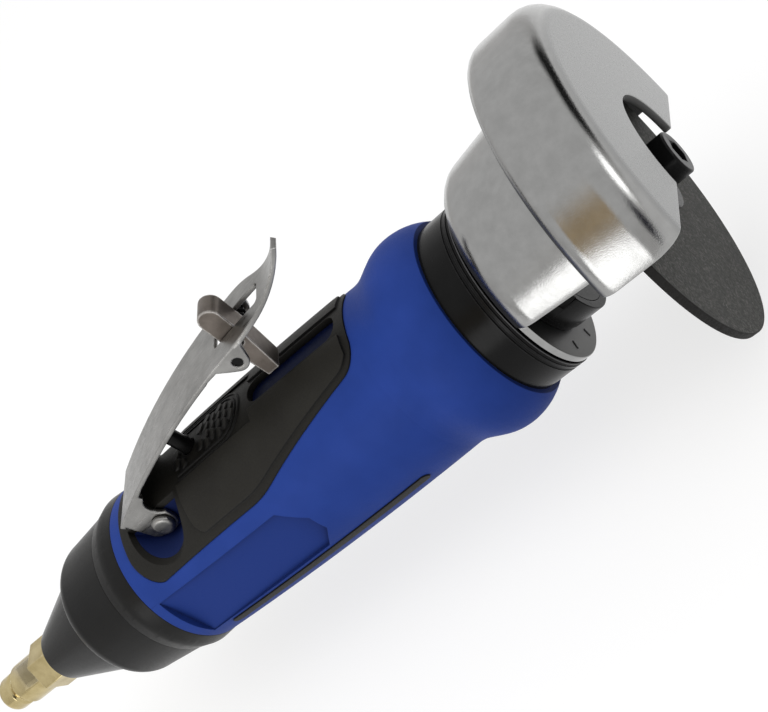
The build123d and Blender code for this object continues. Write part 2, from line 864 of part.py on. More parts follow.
z_stem_top = web_height(x_valve) - lever_sheet - valve_stem_gap
with BuildPart() as valve_stem:
    with BuildSketch(Plane.XY.offset(z_spring_top - valve_head_length)):
        with Locations((x_valve, 0)):
            Circle(valve_stem_radius)
    extrude(amount=z_stem_top - z_spring_top + valve_head_length)
    fillet(valve_stem.edges().filter_by(GeomType.CIRCLE).group_by(Axis.Z)[-1], valve_stem_round)
    with BuildSketch(Plane.XY.offset(z_spring_top)):
        with Locations((x_valve, 0)):
            Circle(valve_head_radius)
    extrude(amount=valve_head_length)
save(valve_stem.part, "valve_stem")

valve_spring = Pos(x_valve, 0, z_spring_floor + slip) * coil(
    valve_spring_radius, valve_spring_wire, valve_spring_length - 2 * slip, valve_spring_turns
)
save(valve_spring, "valve_spring")

# Vane motor: end plates, eccentric cylinder, rotor with its spindle, vanes and locating pin
with BuildPart() as rear_end_plate:
    with BuildSketch(Plane.YZ.offset(x_bulkhead)):
        Circle(stack_radius)
        Circle(journal_radius + free_air, mode=Mode.SUBTRACT)
        with Locations((0, z_valve_port)):
            Circle(valve_port_radius, mode=Mode.SUBTRACT)
        with Locations(*exhaust_places):
            Circle(exhaust_bore_radius, mode=Mode.SUBTRACT)
        with Locations((0, -locating_pin_pitch)):
            Circle(locating_pin_radius + screwed, mode=Mode.SUBTRACT)
    extrude(amount=rear_plate_thickness)
    with BuildSketch(Plane.YZ.offset(x_bulkhead)):
        Circle(rear_bearing_radius + screwed)
    extrude(amount=rear_bearing_width + 2 * slip, mode=Mode.SUBTRACT)
save(rear_end_plate.part, "rear_end_plate")

with BuildPart() as motor_cylinder:
    with BuildSketch(Plane.YZ.offset(x_cylinder)):
        Circle(stack_radius)
        with Locations((0, rotor_offset)):
            Circle(cylinder_bore_radius, mode=Mode.SUBTRACT)
        with Locations((0, -locating_pin_pitch)):
            Circle(locating_pin_radius + screwed, mode=Mode.SUBTRACT)
    extrude(amount=cylinder_length)
save(motor_cylinder.part, "motor_cylinder")

with BuildPart() as front_end_plate:
    with BuildSketch(Plane.YZ.offset(x_front_plate)):
        Circle(stack_radius)
        Circle(spindle_radius + free_air, mode=Mode.SUBTRACT)
        with Locations((0, -locating_pin_pitch)):
            Circle(locating_pin_radius + screwed, mode=Mode.SUBTRACT)
    extrude(amount=front_plate_thickness)
save(front_end_plate.part, "front_end_plate")

with BuildPart() as locating_pin:
    with BuildSketch(Plane.YZ.offset(x_bulkhead - locating_pin_sink + slip)):
        with Locations((0, -locating_pin_pitch)):
            Circle(locating_pin_radius)
    extrude(amount=x_bearing_housing - x_bulkhead + locating_pin_sink - 2 * slip)
save(locating_pin.part, "locating_pin")

x_rotor = x_cylinder + rotor_end_gap
rotor_length = cylinder_length - 2 * rotor_end_gap
slot_width = vane_thickness + 2 * running
slot_depth = vane_depth + vane_slot_spare
vane_middle = rotor_radius - running - vane_depth / 2
with BuildPart() as rotor_spindle:
    with BuildSketch(Plane.YZ.offset(x_rotor)):
        Circle(rotor_radius)
        with PolarLocations(rotor_radius - slot_depth / 2, vane_count):
            Rectangle(slot_depth, slot_width, mode=Mode.SUBTRACT)
    extrude(amount=rotor_length)
    with BuildSketch(Plane.YZ.offset(x_rear_bearing)):
        Circle(journal_radius)
    extrude(amount=x_rotor - x_rear_bearing)
    with BuildSketch(Plane.YZ.offset(x_rotor + rotor_length)):
        Circle(spindle_radius)
    extrude(amount=x_disc - x_rotor - rotor_length)
    with BuildSketch(Plane.YZ.offset(x_disc)):
        Circle(disc_bore_radius - screwed)
    extrude(amount=disc_thickness - free_air)
    with BuildSketch(Plane.YZ.offset(x_screw_seat - screw_length - slip)):
        Circle(screw_radius + screwed)
    extrude(amount=screw_length, mode=Mode.SUBTRACT)
save(rotor_spindle.part, "rotor_spindle")

with BuildPart() as rotor_vanes:
    with BuildSketch(Plane.YZ.offset(x_rotor)):
        with PolarLocations(vane_middle, vane_count):
            Rectangle(vane_depth, vane_thickness)
    extrude(amount=rotor_length)
save(rotor_vanes.part, "rotor_vanes")

# Front bearing housing: carries the front bearing, and its nose tube carries the guard
with BuildPart() as front_bearing_housing:
    with BuildSketch(Plane.YZ.offset(x_bearing_housing)):
        Circle(stack_radius)
    extrude(amount=bearing_housing_length)
    with BuildSketch(Plane.YZ.offset(x_lip)):
        Circle(nose_tube_radius)
    extrude(amount=x_nose_tube_end - x_lip)
    with BuildSketch(Plane.YZ.offset(x_bearing_housing)):
        Circle(spacer_radius + free_air)
    extrude(amount=x_nose_tube_end - x_bearing_housing, mode=Mode.SUBTRACT)
    with BuildSketch(Plane.YZ.offset(x_bearing_housing)):
        Circle(front_bearing_radius + screwed)
    extrude(amount=front_bearing_width + 2 * slip, mode=Mode.SUBTRACT)
save(front_bearing_housing.part, "front_bearing_housing")


def bearing(name, x_start, width, bore, radius, ball, count):
    """Writes a ball bearing's inner ring, outer ring and balls."""
    middle = x_start + width / 2
    pitch = (bore + radius) / 2
    shoulder = ball * race_depth
    inner_ring = ball_race(middle, width, bore + screwed / 2, pitch - shoulder, pitch, ball)
    outer_ring = ball_race(middle, width, pitch + shoulder, radius, pitch, ball)
    save(inner_ring, f"{name}_bearing_inner_ring")
    save(outer_ring, f"{name}_bearing_outer_ring")
    save(ball_set(middle, pitch, ball, count), f"{name}_bearing_balls")


bearing("front", x_front_bearing, front_bearing_width, spindle_radius, front_bearing_radius,
        front_ball_radius, front_ball_count)
bearing("rear", x_rear_bearing, rear_bearing_width, journal_radius, rear_bearing_radius,
        rear_ball_radius, rear_ball_count)

# Guard: a full round base, then half a neck, half a drum and a notched front face
guard_chord = Plane((0, 0, 0), x_dir=(1, 0, 0),
                    z_dir=(0, sin(radians(guard_turn)), cos(radians(guard_turn))))
guard_bore = nose_tube_radius + running
x_guard_front = x_drum + guard_drum_length
with BuildPart() as wheel_guard:
    with BuildSketch(guard_chord):
        with BuildLine():
            FilletPolyline(
                (x_guard, guard_bore),
                (x_guard, guard_neck_radius),
                (x_drum, guard_neck_radius + guard_neck_flare),
                (x_drum, guard_drum_radius),
                (x_guard_front, guard_drum_radius),
                (x_guard_front, guard_notch_radius),
                radius=[guard_rear_bend, guard_waist_bend, guard_shoulder_bend, guard_front_bend],
            )
            offset(amount=guard_sheet, side=Side.RIGHT)
        make_face()
    revolve(axis=Axis.X, revolution_arc=180)
    add(ring(x_guard, x_guard + guard_sheet, guard_bore, guard_base_radius))
save(wheel_guard.part, "wheel_guard")

guard_washer = ring(x_washer, x_nut, nose_tube_radius + screwed, nut_radius - free_air)
save(guard_washer, "guard_washer")

with BuildPart() as guard_nut:
    add(ring(x_nut, x_nose_tube_end, nose_tube_radius + screwed, nut_radius))
    with BuildSketch(Plane.YZ.offset(x_nose_tube_end)):
        with PolarLocations(nut_radius, nut_notch_count):
            Rectangle(nut_notch / 2, nut_notch)
    extrude(amount=-nut_length / 2, mode=Mode.SUBTRACT)
save(guard_nut.part, "guard_nut")

# Disc and what clamps it to the spindle
spindle_spacer = ring(x_spacer, x_flange, spindle_radius + screwed / 2, spacer_radius)
save(spindle_spacer, "spindle_spacer")
inner_flange = ring(x_flange, x_disc, spindle_radius + screwed / 2, flange_radius)
save(inner_flange, "inner_flange")
cutting_disc = ring(x_disc, x_disc_front, disc_bore_radius, disc_radius)
save(cutting_disc, "cutting_disc")
outer_washer = ring(x_disc_front, x_screw_seat, screw_radius + slip, outer_washer_radius)
save(outer_washer, "outer_washer")

with BuildPart() as disc_screw:
    with BuildSketch(Plane.YZ.offset(x_screw_seat - screw_length)):
        Circle(screw_radius)
    extrude(amount=screw_length)
    with BuildSketch(Plane.YZ.offset(x_screw_seat)):
        Circle(screw_head_radius)
    extrude(amount=screw_head_length)
    fillet(disc_screw.edges().group_by(Axis.X)[-1], screw_head_edge)
    with BuildSketch(Plane.YZ.offset(x_screw_seat + screw_head_length)):
        RegularPolygon(screw_socket_flats / 2, 6, major_radius=False)
    extrude(amount=-screw_socket_depth, mode=Mode.SUBTRACT)
save(disc_screw.part, "disc_screw")
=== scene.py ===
"""Dresses the in-line air cut-off grinder: softened and turned pieces, finishes, studio and camera.

Lengths are metres in the frame of the solids: X runs from the air inlet to the disc, and Z points up through
the throttle lever.
"""
import json
import logging
from dataclasses import dataclass, field
from enum import Enum
from math import cos, pi, radians, sin, sqrt, tan

import bmesh
import bpy
from mathutils import Matrix, Vector
from mathutils.bvhtree import BVHTree


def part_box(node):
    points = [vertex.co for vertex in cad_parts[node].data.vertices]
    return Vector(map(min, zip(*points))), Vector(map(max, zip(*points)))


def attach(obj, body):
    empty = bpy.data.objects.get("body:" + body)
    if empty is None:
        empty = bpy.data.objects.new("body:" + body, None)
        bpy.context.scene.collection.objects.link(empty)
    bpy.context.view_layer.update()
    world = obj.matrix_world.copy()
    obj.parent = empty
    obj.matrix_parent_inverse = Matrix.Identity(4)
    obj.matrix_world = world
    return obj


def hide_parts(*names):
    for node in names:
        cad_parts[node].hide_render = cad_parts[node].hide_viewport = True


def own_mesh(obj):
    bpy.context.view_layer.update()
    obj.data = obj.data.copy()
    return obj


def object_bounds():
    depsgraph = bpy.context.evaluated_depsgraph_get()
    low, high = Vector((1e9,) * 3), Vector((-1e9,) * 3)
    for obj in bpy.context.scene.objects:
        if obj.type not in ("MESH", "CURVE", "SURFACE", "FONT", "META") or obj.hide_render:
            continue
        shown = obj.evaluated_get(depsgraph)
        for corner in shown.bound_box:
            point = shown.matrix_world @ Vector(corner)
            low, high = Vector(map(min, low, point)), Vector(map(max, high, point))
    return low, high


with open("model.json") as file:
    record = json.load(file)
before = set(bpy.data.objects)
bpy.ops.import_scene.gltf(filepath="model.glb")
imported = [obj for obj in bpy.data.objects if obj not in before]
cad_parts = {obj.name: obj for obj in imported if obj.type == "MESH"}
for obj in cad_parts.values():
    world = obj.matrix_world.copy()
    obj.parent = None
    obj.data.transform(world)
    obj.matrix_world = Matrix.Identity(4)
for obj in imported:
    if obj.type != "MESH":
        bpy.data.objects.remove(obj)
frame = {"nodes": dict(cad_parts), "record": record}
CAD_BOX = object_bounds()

MM = 0.001
MERGE = 1e-6  # points nearer than this become one
SLIVER = 2e-5  # the same in the mesh of a solid
FLAT = radians(0.4)  # faces that meet at less than this become one
BENT = radians(40)  # an edge that bends by less than this is no corner
FOLDED = radians(125)  # a rim that bends by more than this stays sharp
SMOOTH = radians(38)  # faces that meet at less than this are shaded as one
TURN_STEPS = 144
ROUND_SEGMENTS = 6
AXIS = Vector((1, 0, 0))
DOWN = Vector((0, 0, -1))
OVERHEAD = 1.0  # a height above the whole tool

NOISE = (0.3, 0.7)  # most of a noise's values lie in here
GRAIN_DRIFT = 0.035  # scale of the slow tones, as a share of the grain's
STREAK_DRIFT = 0.12  # the same for streaks
GRIT_DUST = 2.3  # scale of the dust on the grains, as a multiple of theirs
# break-up of the brighter edges, which are partly rubbed wear and partly painted highlight
EDGE_PATCHES = 900.0
EDGE_UNEVEN = (0.4, 1.6)
CORNER_SAMPLES = 8

BLACK = (0.0, 0.0, 0.0)
WHITE = (1.0, 1.0, 1.0)

log = logging.getLogger("grinder")

Color = tuple[float, float, float]
Range = tuple[float, float]
Shape = bmesh.types.BMesh
Edge = bmesh.types.BMEdge
Socket = bpy.types.NodeSocket
Surface = tuple[Socket, Socket, Socket]


class NodeSheet:
    """A shader tree with short calls to add nodes and join their sockets."""

    def __init__(self, tree: bpy.types.NodeTree) -> None:
        """Keeps the tree of a material, a world or a node group."""
        self.tree = tree

    def add(self, kind: str, **sockets: object) -> bpy.types.Node:
        """Adds a node and fills its inputs.

        Args:
            kind: the node's type name.
            **sockets: input values or output sockets by input name, with _ for a space.

        Returns:
            The new node.
        """
        node = self.tree.nodes.new(kind)
        for name, value in sockets.items():
            self.feed(node.inputs[name.replace("_", " ")], value)
        return node

    def feed(self, socket: Socket, value: object) -> None:
        """Sets an input, or links it where the value is an output socket.

        Args:
            socket: the input.
            value: what it gets.
        """
        if isinstance(value, Socket):
            self.tree.links.new(value, socket)
        else:
            socket.default_value = value

    def math(self, operation: str, first: object, second: object = 0.0, clamp: bool = False) -> Socket:
        """Adds a Math node.

        Args:
            operation: the node's operation.
            first: value or socket of the first input.
            second: value or socket of the second input.
            clamp: keeps the result between 0 and 1.

        Returns:
            The result socket.
        """
        node = self.tree.nodes.new("ShaderNodeMath")
        node.operation = operation
        node.use_clamp = clamp
        self.feed(node.inputs[0], first)
        self.feed(node.inputs[1], second)
        return node.outputs[0]

    def vector(self, operation: str, first: object, second: object = (0, 0, 0)) -> bpy.types.Node:
        """Adds a Vector Math node.

        Args:
            operation: the node's operation.
            first: vector or socket of the first input.
            second: vector or socket of the second input.

        Returns:
            The node, with a Vector and a Value output.
        """
        node = self.tree.nodes.new("ShaderNodeVectorMath")
        node.operation = operation
        self.feed(node.inputs[0], first)
        self.feed(node.inputs[1], second)
        return node

    def blend(self, factor: object, first: object, second: object) -> Socket:
        """Mixes two colours.

        Args:
            factor: share of the second colour, as a value or a socket.
            first: colour or socket.
            second: colour or socket.

        Returns:
            The result socket.
        """
        node = self.tree.nodes.new("ShaderNodeMix")
        node.data_type = "RGBA"
        self.feed(node.inputs["Factor"], factor)
        for socket, color in ((node.inputs[6], first), (node.inputs[7], second)):
            self.feed(socket, (*color, 1) if isinstance(color, tuple) else color)
        return node.outputs[2]

    def span(self, value: Socket, source: Range, target: Range = (0.0, 1.0)) -> Socket:
        """Maps a value from one range to another, and no further than its ends.

        Args:
            value: the socket that is mapped.
            source: the values that become the ends of the target.
            target: the ends of the result.

        Returns:
            The result socket.
        """
        node = self.add(
            "ShaderNodeMapRange", Value=value, From_Min=source[0], From_Max=source[1], To_Min=target[0],
            To_Max=target[1],
        )
        return node.outputs[0]

    def noise(self, place: Socket, scale: object, detail: float, roughness: float = 0.5) -> Socket:
        """Adds a noise over a place and returns its value."""
        node = self.add("ShaderNodeTexNoise", Vector=place, Scale=scale, Detail=detail, Roughness=roughness)
        return node.outputs["Fac"]

    def off_axis(self, place: Socket) -> Socket:
        """Distance of a point from the tool's axis."""
        flat = self.vector("MULTIPLY", place, (0, 1, 1))
        return self.vector("LENGTH", flat.outputs["Vector"]).outputs["Value"]

    def effect(self, effect: "Effect", **sockets: object) -> bpy.types.Node:
        """Places an effect and fills its inputs.

        Args:
            effect: which effect.
            **sockets: input values or sockets by name.

        Returns:
            The group node.
        """
        node = self.tree.nodes.new("ShaderNodeGroup")
        node.node_tree = effect.group()
        for name, value in sockets.items():
            self.feed(node.inputs[name], value)
        return node


class Effect(Enum):
    """Effects that finishes are made of, each a shader node group."""

    GRAIN = "moulded grain"
    STREAK = "drawn streaks"
    GRIT = "bonded grit"
    WEAR_AND_GLINT = "bright edges"
    CORNERS = "shaded corners"

    def group(self) -> bpy.types.NodeTree:
        """The effect's node group.

        Returns:
            The group, made on first use.
        """
        known = bpy.data.node_groups.get(self.value)
        if known:
            return known
        makers = {
            Effect.GRAIN: make_grain,
            Effect.STREAK: make_streak,
            Effect.GRIT: make_grit,
            Effect.WEAR_AND_GLINT: make_wear_and_glint,
            Effect.CORNERS: make_corners,
        }
        return makers[self](self.value)


def open_group(
    name: str, vectors: list[str], values: list[str], results: list[str]
) -> tuple[NodeSheet, dict[str, Socket], dict[str, Socket]]:
    """Starts a node group with named sockets.

    Args:
        name: the group's name.
        vectors: names of the inputs that are vectors.
        values: names of the inputs that are values.
        results: names of the outputs, which are all values.

    Returns:
        The sheet, the input sockets by name, and the output sockets by name.
    """
    tree = bpy.data.node_groups.new(name, "ShaderNodeTree")
    for titles, way, kind in (
        (vectors, "INPUT", "NodeSocketVector"),
        (values, "INPUT", "NodeSocketFloat"),
        (results, "OUTPUT", "NodeSocketFloat"),
    ):
        for title in titles:
            tree.interface.new_socket(title, in_out=way, socket_type=kind)
    entry = tree.nodes.new("NodeGroupInput")
    leave = tree.nodes.new("NodeGroupOutput")
    given = {title: entry.outputs[title] for title in vectors + values}
    return NodeSheet(tree), given, {title: leave.inputs[title] for title in results}


def make_grain(name: str) -> bpy.types.NodeTree:
    """Fine moulded or blasted grain with a slow drift of tone.

    Args:
        name: the group's name.

    Returns:
        A group with Height and Tone outputs.
    """
    sheet, given, result = open_group(name, ["Vector"], ["Scale"], ["Height", "Tone"])
    slow = sheet.math("MULTIPLY", given["Scale"], GRAIN_DRIFT)
    sheet.feed(result["Height"], sheet.noise(given["Vector"], given["Scale"], detail=5.0, roughness=0.62))
    sheet.feed(result["Tone"], sheet.noise(given["Vector"], slow, detail=3.0))
    return sheet.tree


def make_streak(name: str) -> bpy.types.NodeTree:
    """Long fine streaks, as brushing, drawing or tumbling leaves them.

    Args:
        name: the group's name.

    Returns:
        A group with Height and Tone outputs.
    """
    sheet, given, result = open_group(name, ["Vector", "Stretch"], ["Scale"], ["Height", "Tone"])
    drawn = sheet.vector("MULTIPLY", given["Vector"], given["Stretch"]).outputs["Vector"]
    slow = sheet.math("MULTIPLY", given["Scale"], STREAK_DRIFT)
    sheet.feed(result["Height"], sheet.noise(drawn, given["Scale"], detail=6.0, roughness=0.7))
    sheet.feed(result["Tone"], sheet.noise(given["Vector"], slow, detail=4.0, roughness=0.55))
    return sheet.tree


def make_grit(name: str) -> bpy.types.NodeTree:
    """Packed grains of uneven tone.

    Args:
        name: the group's name.

    Returns:
        A group with Height and Tone outputs.
    """
    sheet, given, result = open_group(name, ["Vector"], ["Scale"], ["Height", "Tone"])
    grains = sheet.add("ShaderNodeTexVoronoi", Vector=given["Vector"], Scale=given["Scale"], Randomness=1.0)
    dust = sheet.noise(given["Vector"], sheet.math("MULTIPLY", given["Scale"], GRIT_DUST), detail=3.0)
    parts = sheet.add("ShaderNodeSeparateColor", Color=grains.outputs["Color"])
    sheet.feed(result["Height"], sheet.math("SUBTRACT", dust, grains.outputs["Distance"]))
    sheet.feed(result["Tone"], parts.outputs[0])
    return sheet.tree


def make_wear_and_glint(name: str) -> bpy.types.NodeTree:
    """Marks the edges, broken up unevenly, that are coloured brighter: partly rubbed wear, partly painted
    highlight.

    Args:
        name: the group's name.

    Returns:
        A group with a Mask output.
    """
    sheet, given, result = open_group(name, ["Vector"], ["Radius", "Amount"], ["Mask"])
    rounded = sheet.add("ShaderNodeBevel", Radius=given["Radius"]).outputs["Normal"]
    true = sheet.add("ShaderNodeNewGeometry").outputs["Normal"]
    away = sheet.math("SUBTRACT", 1.0, sheet.vector("DOT_PRODUCT", rounded, true).outputs["Value"])
    patches = sheet.noise(given["Vector"], EDGE_PATCHES, detail=4.0)
    uneven = sheet.math("MULTIPLY", away, sheet.span(patches, NOISE, EDGE_UNEVEN))
    sheet.feed(result["Mask"], sheet.math("MULTIPLY", uneven, given["Amount"], clamp=True))
    return sheet.tree


def make_corners(name: str) -> bpy.types.NodeTree:
    """Marks pockets and inside corners, where the colour is darkened as painted shade.

    Args:
        name: the group's name.

    Returns:
        A group with a Mask output.
    """
    sheet, given, result = open_group(name, [], ["Reach", "Amount"], ["Mask"])
    open_sky = sheet.add("ShaderNodeAmbientOcclusion", Distance=given["Reach"])
    open_sky.samples = CORNER_SAMPLES
    shut = sheet.math("SUBTRACT", 1.0, open_sky.outputs["AO"])
    sheet.feed(result["Mask"], sheet.math("MULTIPLY", shut, given["Amount"], clamp=True))
    return sheet.tree


def new_material(name: str) -> tuple[bpy.types.Material, NodeSheet, bpy.types.Node]:
    """Starts a node material.

    Args:
        name: the material's name.

    Returns:
        The material, its nodes and its shader.
    """
    material = bpy.data.materials.new(name)
    material.use_nodes = True
    return material, NodeSheet(material.node_tree), material.node_tree.nodes["Principled BSDF"]


@dataclass(frozen=True)
class Finish:
    """A surface finish: its colours, its gloss, the scale of its texture and the painted shade in its
    corners.
    """

    name: str
    color: Color
    shade: Color
    roughness: float
    scale: float
    spread: float = 0.08
    metallic: float = 0.0
    specular: float = 0.5
    relief: float = 0.02 * MM
    relief_strength: float = 0.5
    rounding: float = 0.0
    # painted shade in corners and pockets: how far it reaches, how strong it is and its colour
    corner_reach: float = 0.0
    corner_shade: float = 0.0
    corner_shade_color: Color = BLACK

    def build(self) -> bpy.types.Material:
        """The finish as a node material.

        Returns:
            The material, made on first use.
        """
        known = bpy.data.materials.get(self.name)
        if known:
            return known
        material, sheet, shader = new_material(self.name)
        shader.inputs["Metallic"].default_value = self.metallic
        shader.inputs["Specular IOR Level"].default_value = self.specular
        place = sheet.add("ShaderNodeTexCoord").outputs["Object"]
        color, roughness, height = self.surface(sheet, place)
        # painted shade: the colour darkens in corners and pockets
        if self.corner_shade:
            corners = sheet.effect(Effect.CORNERS, Reach=self.corner_reach, Amount=self.corner_shade)
            color = sheet.blend(corners.outputs["Mask"], color, self.corner_shade_color)
        bump = sheet.add("ShaderNodeBump", Strength=self.relief_strength, Distance=self.relief, Height=height)
        if self.rounding:
            rounded = sheet.add("ShaderNodeBevel", Radius=self.rounding)
            sheet.feed(bump.inputs["Normal"], rounded.outputs["Normal"])
        sheet.feed(shader.inputs["Base Color"], color)
        sheet.feed(shader.inputs["Roughness"], roughness)
        sheet.feed(shader.inputs["Normal"], bump.outputs["Normal"])
        return material

    def tinted(self, sheet: NodeSheet, tone: Socket) -> Socket:
        """The colour for a tone from 0, the shade, to 1, the full colour."""
        return sheet.blend(tone, self.shade, self.color)

    def gloss(self, sheet: NodeSheet, value: Socket, source: Range = NOISE) -> Socket:
        """Roughness that follows a value over the surface."""
        return sheet.span(value, source, (self.roughness - self.spread, self.roughness + self.spread))

    def surface(self, sheet: NodeSheet, place: Socket) -> Surface:
        """Colour, roughness and height over the surface; a fine grain unless a finish says otherwise.

        Args:
            sheet: the material's nodes.
            place: Object coordinates.

        Returns:
            The three sockets.
        """
        grain = sheet.effect(Effect.GRAIN, Vector=place, Scale=self.scale)
        color = self.tinted(sheet, sheet.span(grain.outputs["Tone"], NOISE))
        return color, self.gloss(sheet, grain.outputs["Height"]), grain.outputs["Height"]


@dataclass(frozen=True)
class DrawnMetal(Finish):
    """Metal with long fine streaks and brighter edges."""

    stretch: tuple[float, float, float] = (1.0, 1.0, 1.0)
    # edge and edge_color brighten the rims: partly rubbed wear, partly painted highlight
    edge: float = 0.0
    edge_color: Color = WHITE
    edge_radius: float = 0.5 * MM

    def surface(self, sheet: NodeSheet, place: Socket) -> Surface:
        """Streaked colour, roughness and height, with brighter edges, partly rubbed wear and partly painted
        highlight, where edge is above 0.

        Args:
            sheet: the material's nodes.
            place: Object coordinates.

        Returns:
            The three sockets.
        """
        streak = sheet.effect(Effect.STREAK, Vector=place, Stretch=self.stretch, Scale=self.scale)
        color = self.tinted(sheet, sheet.span(streak.outputs["Tone"], NOISE))
        if self.edge:
            # brighter rims: partly rubbed wear, partly painted highlight
            wear_and_glint = sheet.effect(Effect.WEAR_AND_GLINT, Vector=place, Radius=self.edge_radius, Amount=self.edge)
            color = sheet.blend(wear_and_glint.outputs["Mask"], color, self.edge_color)
        return color, self.gloss(sheet, streak.outputs["Height"]), streak.outputs["Height"]


@dataclass(frozen=True)
class BodyComposite(Finish):
    """Grained body moulding, darker on its side flats, with painted shade in the pivot's pocket and the
    window.
    """

    flat_at: float = 20.2 * MM
    flat_edge: Range = (0.05 * MM, 0.12 * MM)
    flat_half: float = 8.6 * MM
    flat_color: Color = (0.015, 0.040, 0.215)
    # the pivot's pocket and the window under the lock lever are coloured darker as painted shade
    pivot: tuple[float, float] = (74.5 * MM, 17.4 * MM)
    pivot_room: float = 9.2 * MM
    pivot_side: float = 18.0 * MM
    pivot_shade_color: Color = (0.009, 0.018, 0.080)
    window: Range = (110.5 * MM, 140.5 * MM)
    window_half: float = 6.5 * MM
    window_shade_color: Color = (0.003, 0.006, 0.024)

    def hollows(self, sheet: NodeSheet, parts: bpy.types.Node) -> tuple[Socket, Socket]:
        """Marks the floor of the pivot's pocket and the window under the lock lever, which get painted shade.

        Args:
            sheet: the material's nodes.
            parts: Object coordinates, separated.

        Returns:
            The two masks.
        """
        side = sheet.math("ABSOLUTE", parts.outputs["Y"])
        along = sheet.math("SUBTRACT", parts.outputs["X"], self.pivot[0])
        above = sheet.math("SUBTRACT", parts.outputs["Z"], self.pivot[1])
        reach = sheet.math("ADD", sheet.math("MULTIPLY", along, along), sheet.math("MULTIPLY", above, above))
        pocket = sheet.math("LESS_THAN", reach, self.pivot_room ** 2)
        pocket = sheet.math("MULTIPLY", pocket, sheet.math("LESS_THAN", side, self.pivot_side))
        window = sheet.math("LESS_THAN", side, self.window_half)
        for end, test in zip(self.window, ("GREATER_THAN", "LESS_THAN")):
            window = sheet.math("MULTIPLY", window, sheet.math(test, parts.outputs["X"], end))
        window = sheet.math("MULTIPLY", window, sheet.math("GREATER_THAN", parts.outputs["Z"], 0.0))
        return pocket, window

    def surface(self, sheet: NodeSheet, place: Socket) -> Surface:
        """Grained colour, roughness and height, with the flats and the hollows told apart.

        Args:
            sheet: the material's nodes.
            place: Object coordinates.

        Returns:
            The three sockets.
        """
        color, roughness, height = super().surface(sheet, place)
        parts = sheet.add("ShaderNodeSeparateXYZ", Vector=place)
        side = sheet.math("ABSOLUTE", parts.outputs["Y"])
        away = sheet.math("ABSOLUTE", sheet.math("SUBTRACT", side, self.flat_at))
        level = sheet.span(away, self.flat_edge, (1.0, 0.0))
        tall = sheet.math("LESS_THAN", sheet.math("ABSOLUTE", parts.outputs["Z"]), self.flat_half)
        color = sheet.blend(sheet.math("MULTIPLY", level, tall), color, self.flat_color)
        # painted shade in the pivot's pocket and in the window
        for mask, painted_shade in zip(self.hollows(sheet, parts), (self.pivot_shade_color, self.window_shade_color)):
            color = sheet.blend(mask, color, painted_shade)
        return color, roughness, height


@dataclass(frozen=True)
class PaddedRubber(Finish):
    """Moulded rubber whose raised pads are a shade lighter, with painted shade as a dark line at their foot.
    """

    swell: float = 22.7 * MM  # the body's radius where it is widest
    middle: float = 100.9 * MM  # the station where it is widest
    fall: float = 0.41  # how fast it narrows from there, by the square of the distance
    skin: float = 0.3 * MM
    pad: float = 0.8 * MM
    foot_rise: Range = (0.15, 0.35)  # shares of the step from skin to pad
    pad_rise: Range = (0.6, 0.85)
    skin_tone: float = 0.7
    foot_tone: float = 0.1

    def surface(self, sheet: NodeSheet, place: Socket) -> Surface:
        """Grained colour, roughness and height; the colour follows the height above the body.

        Args:
            sheet: the material's nodes.
            place: Object coordinates.

        Returns:
            The three sockets.
        """
        color, roughness, height = super().surface(sheet, place)
        station = sheet.add("ShaderNodeSeparateXYZ", Vector=place).outputs["X"]
        along = sheet.math("SUBTRACT", station, self.middle)
        sag = sheet.math("MULTIPLY", sheet.math("MULTIPLY", along, along), self.fall)
        body = sheet.math("SUBTRACT", self.swell, sag)
        rise = sheet.math("SUBTRACT", sheet.off_axis(place), body)
        step = self.pad - self.skin
        leave, arrive = (
            sheet.span(rise, (self.skin + low * step, self.skin + high * step))
            for low, high in (self.foot_rise, self.pad_rise)
        )
        skin = sheet.blend(1 - self.skin_tone, color, BLACK)
        # painted shade: a dark line at the foot of the pads
        foot = sheet.blend(1 - self.foot_tone, color, BLACK)
        return sheet.blend(arrive, sheet.blend(leave, skin, foot), color), roughness, height


